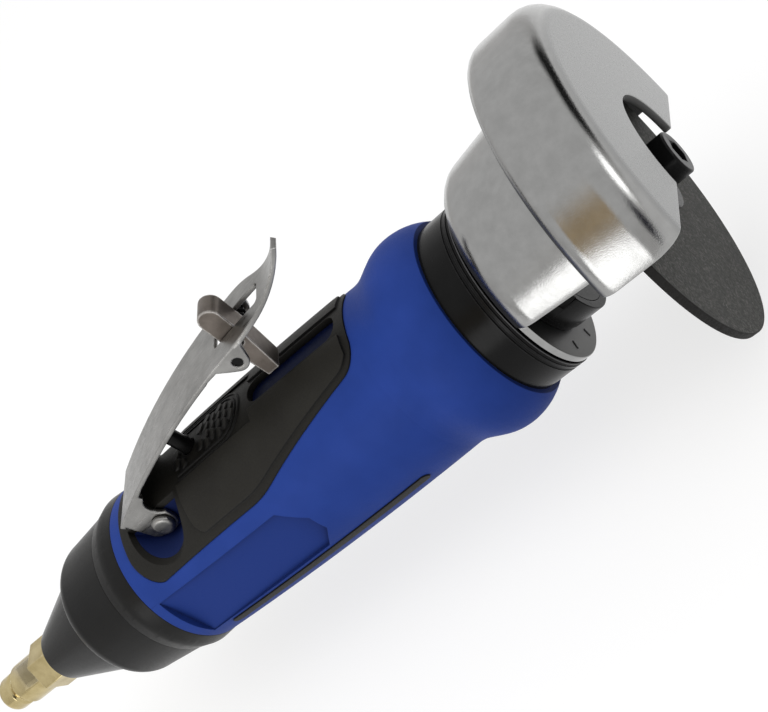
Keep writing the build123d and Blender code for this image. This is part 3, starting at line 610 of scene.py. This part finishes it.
@dataclass(frozen=True)
class PlatedSheet(DrawnMetal):
    """Plated sheet: bright outside; satin on its front face, which is painted darker; duller inside and where
    it faces back, with painted shade there.
    """

    # painted shade inside and on back faces; the front face is painted darker, standing in for a dimmer
    # reflection
    inside_shade_color: Color = (0.13, 0.13, 0.128)
    inside_dull: float = 0.3
    inside_reach: Range = (-6.0 * MM, -10.0 * MM)
    face_shade_color: Color = (0.25, 0.252, 0.25)
    face_dull: float = 0.14
    face_turn: Range = (0.9, 0.99)
    base_depth: float = 182.0 * MM
    base_turn: Range = (0.6, 0.9)
    back_turn: Range = (-0.55, -0.85)

    def surface(self, sheet: NodeSheet, place: Socket) -> Surface:
        """Plating colour, roughness and height, told apart by the way that the sheet faces.

        Args:
            sheet: the material's nodes.
            place: Object coordinates.

        Returns:
            The three sockets.
        """
        color, roughness, height = super().surface(sheet, place)
        normal = sheet.add("ShaderNodeTexCoord").outputs["Normal"]
        ahead = sheet.add("ShaderNodeSeparateXYZ", Vector=normal).outputs["X"]
        station = sheet.add("ShaderNodeSeparateXYZ", Vector=place).outputs["X"]
        facing = sheet.vector("DOT_PRODUCT", normal, place).outputs["Value"]
        outward = sheet.math("SUBTRACT", facing, sheet.math("MULTIPLY", ahead, station))
        near = sheet.math("LESS_THAN", station, self.base_depth)
        base = sheet.math("MULTIPLY", sheet.span(ahead, self.base_turn), near)
        face = sheet.math("MULTIPLY", sheet.span(ahead, self.face_turn), sheet.math("SUBTRACT", 1.0, near))
        inside = sheet.math("MAXIMUM", sheet.span(outward, self.inside_reach), base)
        inside = sheet.math("MAXIMUM", inside, sheet.span(ahead, self.back_turn))
        # painted shade: the front face darker, standing in for a dimmer reflection
        color = sheet.blend(face, color, self.face_shade_color)
        # painted shade inside the guard and where it faces back
        color = sheet.blend(inside, color, self.inside_shade_color)
        for mask, dull in ((inside, self.inside_dull), (face, self.face_dull)):
            roughness = sheet.math("ADD", roughness, sheet.math("MULTIPLY", mask, dull))
        return color, roughness, height


@dataclass(frozen=True)
class BondedGrit(Finish):
    """Resin bonded abrasive: packed grains over a faint woven net, mottled, with painted shade on its rim."""

    net_pitch: float = 3.2 * MM
    net_depth: float = 0.35
    tone_power: float = 2.2  # above 1, pale grains are fewer than dark ones
    mottle: float = 0.45
    mottle_scale: float = 9000.0
    mottle_range: Range = (0.40, 0.62)
    rim: Range = (37.1 * MM, 37.4 * MM)
    rim_shade_color: Color = (0.012, 0.0115, 0.011)

    def surface(self, sheet: NodeSheet, place: Socket) -> Surface:
        """Grain colour, roughness and height, with the net pressed in.

        Args:
            sheet: the material's nodes.
            place: Object coordinates.

        Returns:
            The three sockets.
        """
        grit = sheet.effect(Effect.GRIT, Vector=place, Scale=self.scale)
        parts = sheet.add("ShaderNodeSeparateXYZ", Vector=place)
        across, along = (
            sheet.math("SINE", sheet.math("MULTIPLY", parts.outputs[name], 2 * pi / self.net_pitch))
            for name in "YZ"
        )
        net = sheet.math("MAXIMUM", across, along)
        color = self.tinted(sheet, sheet.math("POWER", grit.outputs["Tone"], self.tone_power))
        patches = sheet.effect(Effect.GRAIN, Vector=place, Scale=self.mottle_scale)
        faded = sheet.span(patches.outputs["Tone"], self.mottle_range, (0.0, self.mottle))
        color = sheet.blend(faded, color, self.shade)
        # painted shade on the disc's rim
        color = sheet.blend(sheet.span(sheet.off_axis(place), self.rim), color, self.rim_shade_color)
        height = sheet.math("ADD", grit.outputs["Height"], sheet.math("MULTIPLY", net, self.net_depth))
        return color, self.gloss(sheet, grit.outputs["Tone"], (0.0, 1.0)), height


# edge values brighten rims as partly rubbed wear and partly painted highlight; corner values paint shade into
# pockets and inside corners
FINISHES: dict[str, Finish] = {
    "blue_composite": BodyComposite(
        "blue composite", (0.019, 0.052, 0.275), (0.015, 0.043, 0.230), 0.55, 2600.0, specular=0.08,
        relief=0.03 * MM, rounding=0.35 * MM, corner_reach=7.0 * MM, corner_shade=1.25,
        corner_shade_color=(0.004, 0.009, 0.050),
    ),
    "black_rubber": PaddedRubber(
        "soft black rubber", (0.017, 0.016, 0.013), (0.011, 0.010, 0.008), 0.60, 2200.0, specular=0.22,
        relief=0.08 * MM, rounding=0.2 * MM, corner_reach=1.6 * MM, corner_shade=1.9,
    ),
    "black_plastic": Finish(
        "satin black moulding", (0.009, 0.0088, 0.0085), (0.006, 0.006, 0.006), 0.34, 2400.0, specular=0.14,
    ),
    "black_metal": DrawnMetal(
        "black oxide steel", (0.006, 0.006, 0.006), (0.004, 0.004, 0.004), 0.24, 1400.0, spread=0.05,
        specular=0.10, relief=0.01 * MM, stretch=(1.0, 0.25, 0.25), edge=0.8, edge_color=(0.07, 0.07, 0.072),
    ),
    "guard_plate": PlatedSheet(
        "bright plating", (0.35, 0.35, 0.345), (0.305, 0.305, 0.30), 0.13, 3200.0, spread=0.04, metallic=1.0,
        relief=0.04 * MM, edge=1.0, edge_color=(0.80, 0.80, 0.79), corner_reach=3.5 * MM, corner_shade=1.1,
        corner_shade_color=(0.05, 0.05, 0.052),
    ),
    "lever_steel": DrawnMetal(
        "tumbled lever steel", (0.30, 0.296, 0.287), (0.20, 0.197, 0.19), 0.33, 1500.0, spread=0.10,
        metallic=1.0, relief=0.04 * MM, rounding=0.55 * MM, stretch=(0.15, 1.0, 1.0), edge=2.0,
        edge_color=(0.80, 0.80, 0.79),
    ),
    "lock_metal": DrawnMetal(
        "dull casting", (0.19, 0.165, 0.145), (0.09, 0.076, 0.065), 0.42, 1200.0, metallic=0.9,
        relief=0.05 * MM, edge=6.0, edge_color=(0.78, 0.76, 0.73), edge_radius=0.7 * MM,
    ),
    "plug_brass": DrawnMetal(
        "turned brass", (0.60, 0.50, 0.27), (0.40, 0.32, 0.15), 0.17, 1600.0, spread=0.05, metallic=1.0,
        relief=0.015 * MM, stretch=(1.0, 0.1, 0.1), edge=2.0, edge_color=(0.95, 0.88, 0.66),
    ),
    "disc_abrasive": BondedGrit(
        "bonded grit", (0.150, 0.148, 0.139), (0.030, 0.030, 0.028), 0.72, 2600.0, specular=0.2,
        relief=0.12 * MM, relief_strength=0.7,
    ),
    "machined_steel": DrawnMetal(
        "machined steel", (0.55, 0.55, 0.56), (0.44, 0.44, 0.45), 0.28, 1500.0, metallic=1.0,
        relief=0.01 * MM, stretch=(1.0, 0.12, 0.12),
    ),
    "motor_iron": DrawnMetal(
        "machined iron", (0.30, 0.30, 0.31), (0.21, 0.21, 0.22), 0.42, 1300.0, metallic=0.9,
        stretch=(1.0, 0.2, 0.2),
    ),
    "spring_steel": DrawnMetal(
        "drawn spring wire", (0.48, 0.48, 0.49), (0.37, 0.37, 0.38), 0.32, 1800.0, metallic=1.0,
        relief=0.01 * MM,
    ),
    "felt": Finish("pressed felt", (0.50, 0.49, 0.45), (0.36, 0.35, 0.32), 0.9, 1500.0, relief=0.2 * MM),
    "seal_rubber": Finish("seal rubber", (0.020, 0.020, 0.020), (0.014, 0.014, 0.014), 0.55, 2000.0),
    "vane_resin": Finish(
        "vane resin", (0.20, 0.12, 0.065), (0.12, 0.07, 0.04), 0.55, 1100.0, relief=0.06 * MM,
    ),
}


@dataclass(frozen=True)
class Corner:
    """A corner of a turned outline: its station, its radius and the radius of its bend."""

    x: float
    r: float
    bend: float = 0.0

    def reach(self, before: "Corner", after: "Corner") -> float:
        """How far the bend reaches along the outline on each side of the corner.

        Args:
            before: the corner before this one.
            after: the corner after this one.

        Returns:
            The distance.
        """
        arrive = Vector((self.x - before.x, self.r - before.r))
        leave = Vector((after.x - self.x, after.r - self.r))
        return self.bend * tan(arrive.angle(leave) / 2)


def outline_wire(corners: list[Corner]) -> Shape:
    """A closed outline in the XZ half plane, as edges only.

    Args:
        corners: the outline's corners in order.

    Returns:
        A mesh with the rounded outline.
    """
    shape = bmesh.new()
    points = [shape.verts.new((corner.x, 0.0, corner.r)) for corner in corners]
    shape.faces.new(points)
    befores = corners[-1:] + corners[:-1]
    afters = corners[1:] + corners[:1]
    for point, corner, before, after in zip(points, corners, befores, afters):
        if corner.bend:
            bmesh.ops.bevel(
                shape, geom=[point], offset=corner.reach(before, after), offset_type="OFFSET",
                segments=ROUND_SEGMENTS, profile=0.5, affect="VERTICES", material=-1,
            )
    bmesh.ops.delete(shape, geom=shape.faces[:], context="FACES_ONLY")
    return shape


def edges_of(parts: list) -> list[Edge]:
    """The edges among the parts of a mesh that an operator returns."""
    return [part for part in parts if isinstance(part, Edge)]


def turned(corners: list[Corner], start: float, arc: float) -> Shape:
    """A solid turned part of the way round the tool's axis.

    Args:
        corners: the outline's corners in order.
        start: angle of the first section, from the lever's plane.
        arc: how far it turns, less than a full turn.

    Returns:
        A closed mesh.
    """
    shape = outline_wire(corners)
    bmesh.ops.rotate(shape, verts=shape.verts, matrix=Matrix.Rotation(start, 3, AXIS))
    first = shape.edges[:]
    result = bmesh.ops.spin(
        shape, geom=shape.verts[:] + first, cent=(0, 0, 0), axis=AXIS, angle=arc,
        steps=round(TURN_STEPS * arc / (2 * pi)),
    )
    for section in (first, edges_of(result["geom_last"])):
        bmesh.ops.contextual_create(shape, geom=section)
    bmesh.ops.remove_doubles(shape, verts=shape.verts, dist=MERGE)
    bmesh.ops.recalc_face_normals(shape, faces=shape.faces)
    return shape


def merged(node: str) -> Shape:
    """A copy of a solid's mesh with its triangles joined to whole faces.

    Args:
        node: name of the solid.

    Returns:
        The copy.
    """
    shape = bmesh.new()
    shape.from_mesh(frame["nodes"][node].data)
    bmesh.ops.remove_doubles(shape, verts=shape.verts, dist=SLIVER)
    bmesh.ops.dissolve_degenerate(shape, dist=SLIVER, edges=shape.edges)
    bmesh.ops.dissolve_limit(shape, angle_limit=FLAT, verts=shape.verts, edges=shape.edges)
    return shape


def settled(shape: Shape, name: str) -> bpy.types.Mesh:
    """Writes a finished shape to new mesh data.

    Args:
        shape: the shape, which is freed.
        name: the mesh's name.

    Returns:
        The mesh data.
    """
    mesh = bpy.data.meshes.new(name)
    shape.to_mesh(mesh)
    shape.free()
    return mesh


def join(shape: Shape, part: Shape) -> None:
    """Adds a shape to another.

    Args:
        shape: the shape that grows.
        part: the shape that is added, which is freed.
    """
    spare = settled(part, "spare")
    shape.from_mesh(spare)
    bpy.data.meshes.remove(spare)


def linked(name: str, data: bpy.types.ID) -> bpy.types.Object:
    """Puts a new object in the scene.

    Args:
        name: the object's name.
        data: its mesh, light or camera.

    Returns:
        The object.
    """
    thing = bpy.data.objects.new(name, data)
    bpy.context.scene.collection.objects.link(thing)
    return thing


def is_rim(edge: Edge) -> bool:
    """Whether an edge sticks out and bends enough to be rounded."""
    return len(edge.link_faces) == 2 and edge.is_convex and BENT < edge.calc_face_angle() < FOLDED


def is_nook(edge: Edge) -> bool:
    """Whether an edge is an inside corner."""
    return len(edge.link_faces) == 2 and not edge.is_convex and edge.calc_face_angle() > BENT


def round_edges(shape: Shape, edges: list[Edge], width: float, segments: int, clamp: bool) -> None:
    """Rounds edges of a mesh.

    Args:
        shape: the mesh.
        edges: the edges that are rounded.
        width: how far the rounding reaches from the edge.
        segments: how many faces it has.
        clamp: whether roundings stop where they meet.
    """
    bmesh.ops.bevel(
        shape, geom=edges, offset=width, offset_type="OFFSET", segments=segments, profile=0.5, affect="EDGES",
        clamp_overlap=clamp, material=-1,
    )


@dataclass(frozen=True)
class Rounding:
    """How a solid's rims are rounded: how wide, in how many faces, and between which stations."""

    width: float
    segments: int = 3
    start: float = -1.0
    end: float = 1.0

    def copy(self, node: str) -> Shape:
        """A copy of a solid's mesh with its rims rounded.

        Args:
            node: name of the solid.

        Returns:
            The copy.
        """
        shape = merged(node)
        nooks = {point for edge in shape.edges if is_nook(edge) for point in edge.verts}
        rims = [edge for edge in shape.edges if is_rim(edge) and not nooks.intersection(edge.verts)]
        rims = [edge for edge in rims if all(self.start < point.co.x < self.end for point in edge.verts)]
        round_edges(shape, rims, self.width, self.segments, clamp=False)
        return shape


class Workshop:
    """Makes finished pieces out of meshes, with the bodies and the finishes that the record gives."""

    def __init__(self) -> None:
        """Reads which body and which material slot each solid has."""
        record = frame["record"]
        self.slots = {part["node"]: part["material_slot"] for part in record["subparts"]}
        self.bodies = {node: body for body, nodes in record["behaviour"]["bodies"].items() for node in nodes}

    def dress(self, *nodes: str, slot: str = "") -> None:
        """Gives solids a finish as they are.

        Args:
            *nodes: names of the solids.
            slot: the finish, or nothing for the one of the record.
        """
        for node in nodes:
            mesh = frame["nodes"][node].data
            mesh.materials.clear()
            mesh.materials.append(FINISHES[slot or self.slots[node]].build())
            log.info("dressed %s", node)

    def place(
        self, shape: Shape, name: str, node: str, replaces: bool = True, slot: str = ""
    ) -> bpy.types.Object:
        """Turns a mesh into a piece that moves with a solid's body.

        Args:
            shape: the mesh, which is freed.
            name: the piece's name.
            node: the solid that it stands for or sits on.
            replaces: whether the solid is hidden.
            slot: the finish, or nothing for the solid's own.

        Returns:
            The piece.
        """
        mesh = settled(shape, name)
        mesh.shade_smooth()
        mesh.set_sharp_from_angle(angle=SMOOTH)
        slot = slot or self.slots[node]
        mesh.materials.append(FINISHES[slot].build())
        piece = linked(name, mesh)
        weigh = piece.modifiers.new("weighted normals", "WEIGHTED_NORMAL")
        weigh.keep_sharp = True
        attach(piece, self.bodies[node])
        if replaces:
            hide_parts(node)
        log.info("made %s with %d faces", name, len(mesh.polygons))
        return piece


@dataclass
class FrontEnd:
    """The sheet guard, bent and trimmed, with short marks pressed up on its base."""

    sheet: float = 1.8 * MM
    bore: float = 13.06 * MM
    base_radius: float = 21.4 * MM
    neck_radius: float = 26.3 * MM
    neck_flare: float = 3.6 * MM
    drum_radius: float = 41.6 * MM
    notch_radius: float = 15.0 * MM
    rear_bend: float = 7.0 * MM
    waist_bend: float = 2.5 * MM
    shoulder_bend: float = 4.0 * MM
    front_bend: float = 6.0 * MM
    neck_length: float = 22.5 * MM
    turn: float = radians(18.7)
    rim: float = 0.35 * MM
    rim_angle: float = radians(60)
    rim_segments: int = 2
    crimp_radius: float = 18.2 * MM
    crimp_turns: tuple[float, ...] = (radians(127), radians(160))
    crimp_size: tuple[float, float, float] = (0.3 * MM, 0.7 * MM, 2.0 * MM)
    crimp_rim: float = 0.1 * MM

    def build(self, shop: Workshop) -> None:
        """Makes the guard and its crimps."""
        shop.place(self.guard(), "sheet_guard", "wheel_guard")
        shop.place(self.crimps(), "base_crimps", "wheel_guard", replaces=False, slot="black_metal")

    def crimps(self) -> Shape:
        """Short radial marks pressed up on the base.

        Returns:
            The mesh of the marks.
        """
        shape = bmesh.new()
        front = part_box("wheel_guard")[0][0] + self.sheet
        for angle in self.crimp_turns:
            spot = Matrix.Rotation(angle, 4, AXIS) @ Matrix.Translation((front, 0, self.crimp_radius))
            bmesh.ops.create_cube(shape, size=1.0, matrix=spot @ Matrix.Diagonal((*self.crimp_size, 1)))
        round_edges(shape, shape.edges[:], self.crimp_rim, self.rim_segments, clamp=True)
        return shape

    def guard(self) -> Shape:
        """Half a bent sheet on a full round base.

        Returns:
            The guard's mesh.
        """
        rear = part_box("wheel_guard")[0][0]
        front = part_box("wheel_guard")[1][0]
        drum = rear + self.neck_length
        sheet = self.sheet
        wide = self.neck_radius + self.neck_flare
        section = [
            Corner(rear, self.bore),
            Corner(rear, self.neck_radius, self.rear_bend),
            Corner(drum, wide, self.waist_bend),
            Corner(drum, self.drum_radius, self.shoulder_bend),
            Corner(front, self.drum_radius, self.front_bend),
            Corner(front, self.notch_radius),
            Corner(front - sheet, self.notch_radius),
            Corner(front - sheet, self.drum_radius - sheet, self.front_bend - sheet),
            Corner(drum + sheet, self.drum_radius - sheet, self.shoulder_bend - sheet),
            Corner(drum + sheet, wide - sheet, self.waist_bend + sheet),
            Corner(rear + sheet, self.neck_radius - sheet, self.rear_bend - sheet),
            Corner(rear + sheet, self.bore),
        ]
        ring = [
            Corner(rear, self.bore),
            Corner(rear, self.base_radius, self.rim),
            Corner(rear + sheet, self.base_radius, self.rim),
            Corner(rear + sheet, self.bore),
        ]
        shape = turned(section, start=-self.turn - pi / 2, arc=pi)
        join(shape, turned(ring, start=-self.turn + pi / 2, arc=pi))
        closed = [edge for edge in shape.edges if len(edge.link_faces) == 2]
        rims = [edge for edge in closed if edge.calc_face_angle() > self.rim_angle]
        round_edges(shape, rims, self.rim, self.rim_segments, clamp=True)
        return shape


@dataclass
class SoftenedParts:
    """Solids that keep their shape, with their rims rounded as tumbling, turning or moulding leaves them."""

    roundings: dict[str, Rounding] = field(default_factory=lambda: {
        "air_nipple": Rounding(0.2 * MM),
        "inlet_bushing": Rounding(0.3 * MM),
        "exhaust_deflector": Rounding(0.3 * MM),
        "rear_band": Rounding(0.3 * MM),
        "clamp_collar": Rounding(0.3 * MM, start=172.6 * MM),
        "guard_nut": Rounding(0.25 * MM),
        "throttle_lever": Rounding(0.3 * MM, end=146.0 * MM),
        "lever_pin": Rounding(0.2 * MM),
        "lock_lever": Rounding(0.2 * MM),
        "cutting_disc": Rounding(0.2 * MM),
        "outer_washer": Rounding(0.4 * MM),
        "inner_flange": Rounding(0.4 * MM),
        "disc_screw": Rounding(0.2 * MM),
    })

    def build(self, shop: Workshop) -> None:
        """Makes a rounded piece of each solid."""
        for node, rounding in self.roundings.items():
            shop.place(rounding.copy(node), f"soft_{node}", node)


@dataclass
class ValveSpring:
    """The throttle valve's spring, copied from its solid; the copy keeps its length."""

    travel: float = 2.0 * MM

    def build(self, shop: Workshop) -> None:
        """Makes the spring as a copy of its solid, which moves with the spring's body.

        Args:
            shop: makes the piece.
        """
        coil = shop.place(merged("valve_spring"), "coil_valve_spring", "valve_spring")
        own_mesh(coil)


@dataclass
class GripTexture:
    """The texture under the lever: rows of lapped scales inside two raised beads, on the grip's skin."""

    rear: float = 86.0 * MM
    front: float = 105.4 * MM
    row_pitch: float = 2.15 * MM
    scale_pitch: float = 2.5 * MM
    scale_radius: float = 1.75 * MM
    scale_taper: float = 0.84
    scale_depth: float = 0.7 * MM
    scale_tilt: float = radians(11)
    scale_sides: int = 18
    half_width: float = 4.9 * MM
    bead_radii: tuple[float, ...] = (5.6 * MM, 6.9 * MM)
    bead_middle: float = 101.6 * MM
    bead_thick: float = 0.38 * MM
    bead_sides: int = 10
    bead_steps: int = 28
    bead_runs: int = 12
    stem_room: float = 4.4 * MM

    def build(self, shop: Workshop) -> None:
        """Makes the scales and the beads."""
        shop.place(self.scales(), "grip_scales", "soft_grip", replaces=False)
        shop.place(self.beads(), "grip_beads", "soft_grip", replaces=False)

    def skin(self) -> BVHTree:
        """The grip's surface, to set things on.

        Returns:
            The surface as a search tree.
        """
        shape = merged("soft_grip")
        tree = BVHTree.FromBMesh(shape)
        shape.free()
        return tree

    def under(self, skin: BVHTree, x: float, y: float) -> tuple[Vector, Vector]:
        """The highest point of the skin at a place seen from above, and the skin's normal there."""
        return skin.ray_cast(Vector((x, y, OVERHEAD)), DOWN)[:2]

    def scales(self) -> Shape:
        """Rows of small tilted plates, each row lapping the one behind it.

        Returns:
            The mesh of all the plates.
        """
        skin = self.skin()
        low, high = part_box("valve_stem")
        stem = (low[0] + high[0]) / 2
        shape = bmesh.new()
        rows = int((self.front - self.rear) / self.row_pitch)
        reach = int(self.half_width / self.scale_pitch) + 1
        for row in range(rows + 1):
            x = self.rear + row * self.row_pitch
            nose = max(0.0, x - self.bead_middle)
            room = sqrt(max(0.0, self.half_width ** 2 - nose ** 2))
            for place in range(-reach, reach + 1):
                y = (place + 0.5 * (row % 2)) * self.scale_pitch
                if abs(y) > room or Vector((x - stem, y)).length < self.stem_room:
                    continue
                spot, normal = self.under(skin, x, y)
                along = (AXIS - normal * AXIS.dot(normal)).normalized()
                stand = Matrix((along, normal.cross(along), normal)).transposed().to_4x4()
                stand.translation = spot
                bmesh.ops.create_cone(
                    shape, cap_ends=True, segments=self.scale_sides, radius1=self.scale_radius,
                    radius2=self.scale_radius * self.scale_taper, depth=self.scale_depth,
                    matrix=stand @ Matrix.Rotation(-self.scale_tilt, 4, "Y"),
                )
        return shape

    def beads(self) -> Shape:
        """Two thin raised lines round the front of the scales, as long as the rows.

        Returns:
            The mesh of both lines.
        """
        skin = self.skin()
        shape = bmesh.new()
        for radius in self.bead_radii:
            line = bmesh.new()
            stand = Matrix.Translation((self.bead_middle, -radius, 0)) @ Matrix.Rotation(pi / 2, 4, "Y")
            bmesh.ops.create_circle(line, segments=self.bead_sides, radius=self.bead_thick, matrix=stand)
            start = line.edges[:]
            turn = bmesh.ops.spin(
                line, geom=line.verts[:] + start, cent=(self.bead_middle, 0, 0), axis=(0, 0, 1), angle=pi,
                steps=self.bead_steps,
            )
            for edges in (start, edges_of(turn["geom_last"])):
                self.run_back(line, edges)
            bmesh.ops.recalc_face_normals(line, faces=line.faces)
            for point in line.verts:
                point.co.z += self.under(skin, point.co.x, point.co.y)[0].z
            join(shape, line)
        return shape

    def run_back(self, line: Shape, edges: list[Edge]) -> None:
        """Draws the open end of a bead back to the first row, and closes it.

        Args:
            line: the bead.
            edges: the round open end.
        """
        step = (self.rear - self.bead_middle) / self.bead_runs
        for _ in range(self.bead_runs):
            grown = bmesh.ops.extrude_edge_only(line, edges=edges)["geom"]
            points = [part for part in grown if isinstance(part, bmesh.types.BMVert)]
            edges = [edge for edge in edges_of(grown) if all(point in points for point in edge.verts)]
            bmesh.ops.translate(line, verts=points, vec=(step, 0, 0))
        bmesh.ops.contextual_create(line, geom=edges)


@dataclass
class PlainSolids:
    """Solids that already have their true shape, seen or hidden."""

    # painted shade: parts that sit in shade, such as the valve stem under the lever, get the black metal
    # finish
    blackened_for_shade: tuple[str, ...] = (
        "valve_stem", "lock_pin", "lock_spring", "spindle_spacer", "front_bearing_housing",
    )
    nodes: tuple[str, ...] = (
        "grip_housing", "soft_grip", "flank_strips", "inlet_screen", "muffler_felt", "valve_bushing",
        "valve_seal_ring", "rear_end_plate", "motor_cylinder", "front_end_plate", "locating_pin",
        "rotor_spindle", "rotor_vanes", "front_bearing_inner_ring", "front_bearing_outer_ring",
        "front_bearing_balls", "rear_bearing_inner_ring", "rear_bearing_outer_ring", "rear_bearing_balls",
        "guard_washer",
    )

    def build(self, shop: Workshop) -> None:
        """Gives each solid its finish; the darkened ones get the black metal finish as painted shade."""
        shop.dress(*self.nodes)
        shop.dress(*self.blackened_for_shade, slot="black_metal")


@dataclass(frozen=True)
class Card:
    """A soft-edged card far off in the surroundings, which bright metal shows; its angles are degrees."""

    azimuth: float
    elevation: float
    inner: float
    outer: float
    color: Color

    def way(self) -> Vector:
        """Direction from the tool to the card's middle.

        Returns:
            A vector of length 1.
        """
        azimuth = radians(self.azimuth)
        elevation = radians(self.elevation)
        return Vector((cos(azimuth) * cos(elevation), sin(azimuth) * cos(elevation), sin(elevation)))


@dataclass(frozen=True)
class Lamp:
    """A soft lamp: where it hangs, its width and height, its power in watts, and whether metal shows it."""

    name: str
    place: tuple[float, float, float]
    size: tuple[float, float]
    power: float
    mirrored: bool

    def hang(self, aim: Vector) -> None:
        """Hangs the lamp.

        Args:
            aim: the point that it faces.
        """
        light = bpy.data.lights.new(self.name, "AREA")
        light.shape = "ELLIPSE" if self.mirrored else "RECTANGLE"
        light.size, light.size_y = self.size
        light.energy = self.power
        holder = linked(self.name, light)
        holder.location = self.place
        holder.rotation_euler = (Vector(self.place) - aim).to_track_quat("Z", "Y").to_euler()
        holder.visible_glossy = self.mirrored


@dataclass
class Studio:
    """The floor, the lamps, the surroundings and the camera."""

    image_width: float = 768.0
    focal_pixels: float = 1300.0
    film: float = 36.0
    near: float = 0.01
    distance: float = 0.2578
    tilt: float = radians(26.7)
    roll: float = radians(39.86)
    turn: float = radians(34.5)
    disc_at: tuple[float, float] = (258.7, -175.9)  # pixels from the picture's middle, right and down
    floor_size: float = 8.0
    floor_roughness: float = 0.9
    floor_color: Color = (0.55, 0.55, 0.55)
    floor_color_seen: Color = (0.34, 0.34, 0.34)
    floor_glow: float = 0.69
    sky: Color = (0.88, 0.88, 0.88)
    horizon: Color = (0.70, 0.69, 0.68)
    sky_rise: Range = (0.0, 0.5)
    cards: tuple[Card, ...] = (
        Card(27, 12, 11, 16, (0.02, 0.02, 0.02)),
        Card(47, 11, 11, 16, (0.02, 0.02, 0.02)),
        Card(-38, 6, 11, 15, (0.03, 0.03, 0.045)),
        Card(-110, 34, 3, 16, (0.62, 0.45, 0.24)),
        Card(-8, 15, 6, 11, (5.0, 5.0, 5.0)),
    )
    lamps: tuple[Lamp, ...] = (
        Lamp("key", (0.05, -0.12, 0.90), (0.9, 0.9), 1.5, mirrored=False),
        Lamp("fill", (-0.20, -0.80, 0.14), (0.66, 0.40), 1.7, mirrored=True),
    )
    lamp_aim: tuple[float, float, float] = (0.11, 0.0, 0.0)

    def build(self) -> None:
        """Sets up the floor, the light and the camera."""
        self.floor()
        self.surroundings()
        for lamp in self.lamps:
            lamp.hang(Vector(self.lamp_aim))
        self.camera()

    def camera(self) -> None:
        """Stands the camera where the picture was taken from, measured from the disc's front face."""
        across = Vector((cos(self.tilt), sin(self.tilt), 0))
        back = Vector((sin(self.tilt), -cos(self.tilt), 0))
        rise = Vector((0, 0, 1))
        right = across * cos(self.roll) - rise * sin(self.roll)
        up = across * sin(self.roll) + rise * cos(self.roll)
        scale = self.distance / self.focal_pixels
        spot = back * self.distance - right * (self.disc_at[0] * scale) + up * (self.disc_at[1] * scale)
        about = Matrix.Rotation(-self.turn, 3, AXIS)
        disc_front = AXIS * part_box("cutting_disc")[1][0]
        lens = bpy.data.cameras.new("camera")
        lens.sensor_fit = "HORIZONTAL"
        lens.sensor_width = self.film
        lens.lens = self.film * self.focal_pixels / self.image_width
        lens.clip_start = self.near
        pose = Matrix((about @ right, about @ up, about @ back)).transposed().to_4x4()
        pose.translation = about @ spot + disc_front
        holder = linked("camera", lens)
        holder.matrix_world = pose
        bpy.context.scene.camera = holder

    def floor(self) -> None:
        """Lays a pale floor under the tool's lowest point, which glows a little to the eye and in metal."""
        shape = bmesh.new()
        bmesh.ops.create_grid(shape, x_segments=1, y_segments=1, size=self.floor_size / 2)
        bmesh.ops.translate(shape, verts=shape.verts, vec=(0, 0, CAD_BOX[0][2]))
        floor = linked("floor", settled(shape, "floor"))
        paint, sheet, shader = new_material("pale floor")
        shader.inputs["Roughness"].default_value = self.floor_roughness
        shader.inputs["Specular IOR Level"].default_value = 0.0
        shader.inputs["Emission Color"].default_value = (*WHITE, 1)
        rays = sheet.add("ShaderNodeLightPath")
        seen = sheet.math("MAXIMUM", rays.outputs["Is Camera Ray"], rays.outputs["Is Glossy Ray"])
        seen = sheet.math("MAXIMUM", seen, rays.outputs["Is Transmission Ray"])
        sheet.feed(shader.inputs["Emission Strength"], sheet.math("MULTIPLY", seen, self.floor_glow))
        sheet.feed(shader.inputs["Base Color"], sheet.blend(seen, self.floor_color, self.floor_color_seen))
        floor.data.materials.append(paint)

    def surroundings(self) -> None:
        """Surrounds the tool with soft light, darker near the horizon, and the cards; the eye sees white."""
        world = bpy.data.worlds.new("studio")
        bpy.context.scene.world = world
        world.use_nodes = True
        sheet = NodeSheet(world.node_tree)
        way = sheet.add("ShaderNodeTexCoord").outputs["Generated"]
        height = sheet.add("ShaderNodeSeparateXYZ", Vector=way).outputs["Z"]
        color = sheet.blend(sheet.span(height, self.sky_rise), self.horizon, self.sky)
        for card in self.cards:
            facing = sheet.vector("DOT_PRODUCT", way, card.way()).outputs["Value"]
            edge = (cos(radians(card.outer)), cos(radians(card.inner)))
            color = sheet.blend(sheet.span(facing, edge), color, card.color)
        seen = sheet.add("ShaderNodeLightPath").outputs["Is Camera Ray"]
        glow = world.node_tree.nodes["Background"]
        sheet.feed(glow.inputs["Color"], sheet.blend(seen, color, WHITE))


def main() -> None:
    """Builds the sub-assemblies in order, then the studio."""
    logging.basicConfig(level=logging.INFO, format="%(name)s: %(message)s")
    bpy.context.scene.view_settings.view_transform = "Standard"
    shop = Workshop()
    for assembly in (FrontEnd(), SoftenedParts(), ValveSpring(), GripTexture(), PlainSolids()):
        assembly.build(shop)
    Studio().build()


if __name__ == "__main__":
    main()
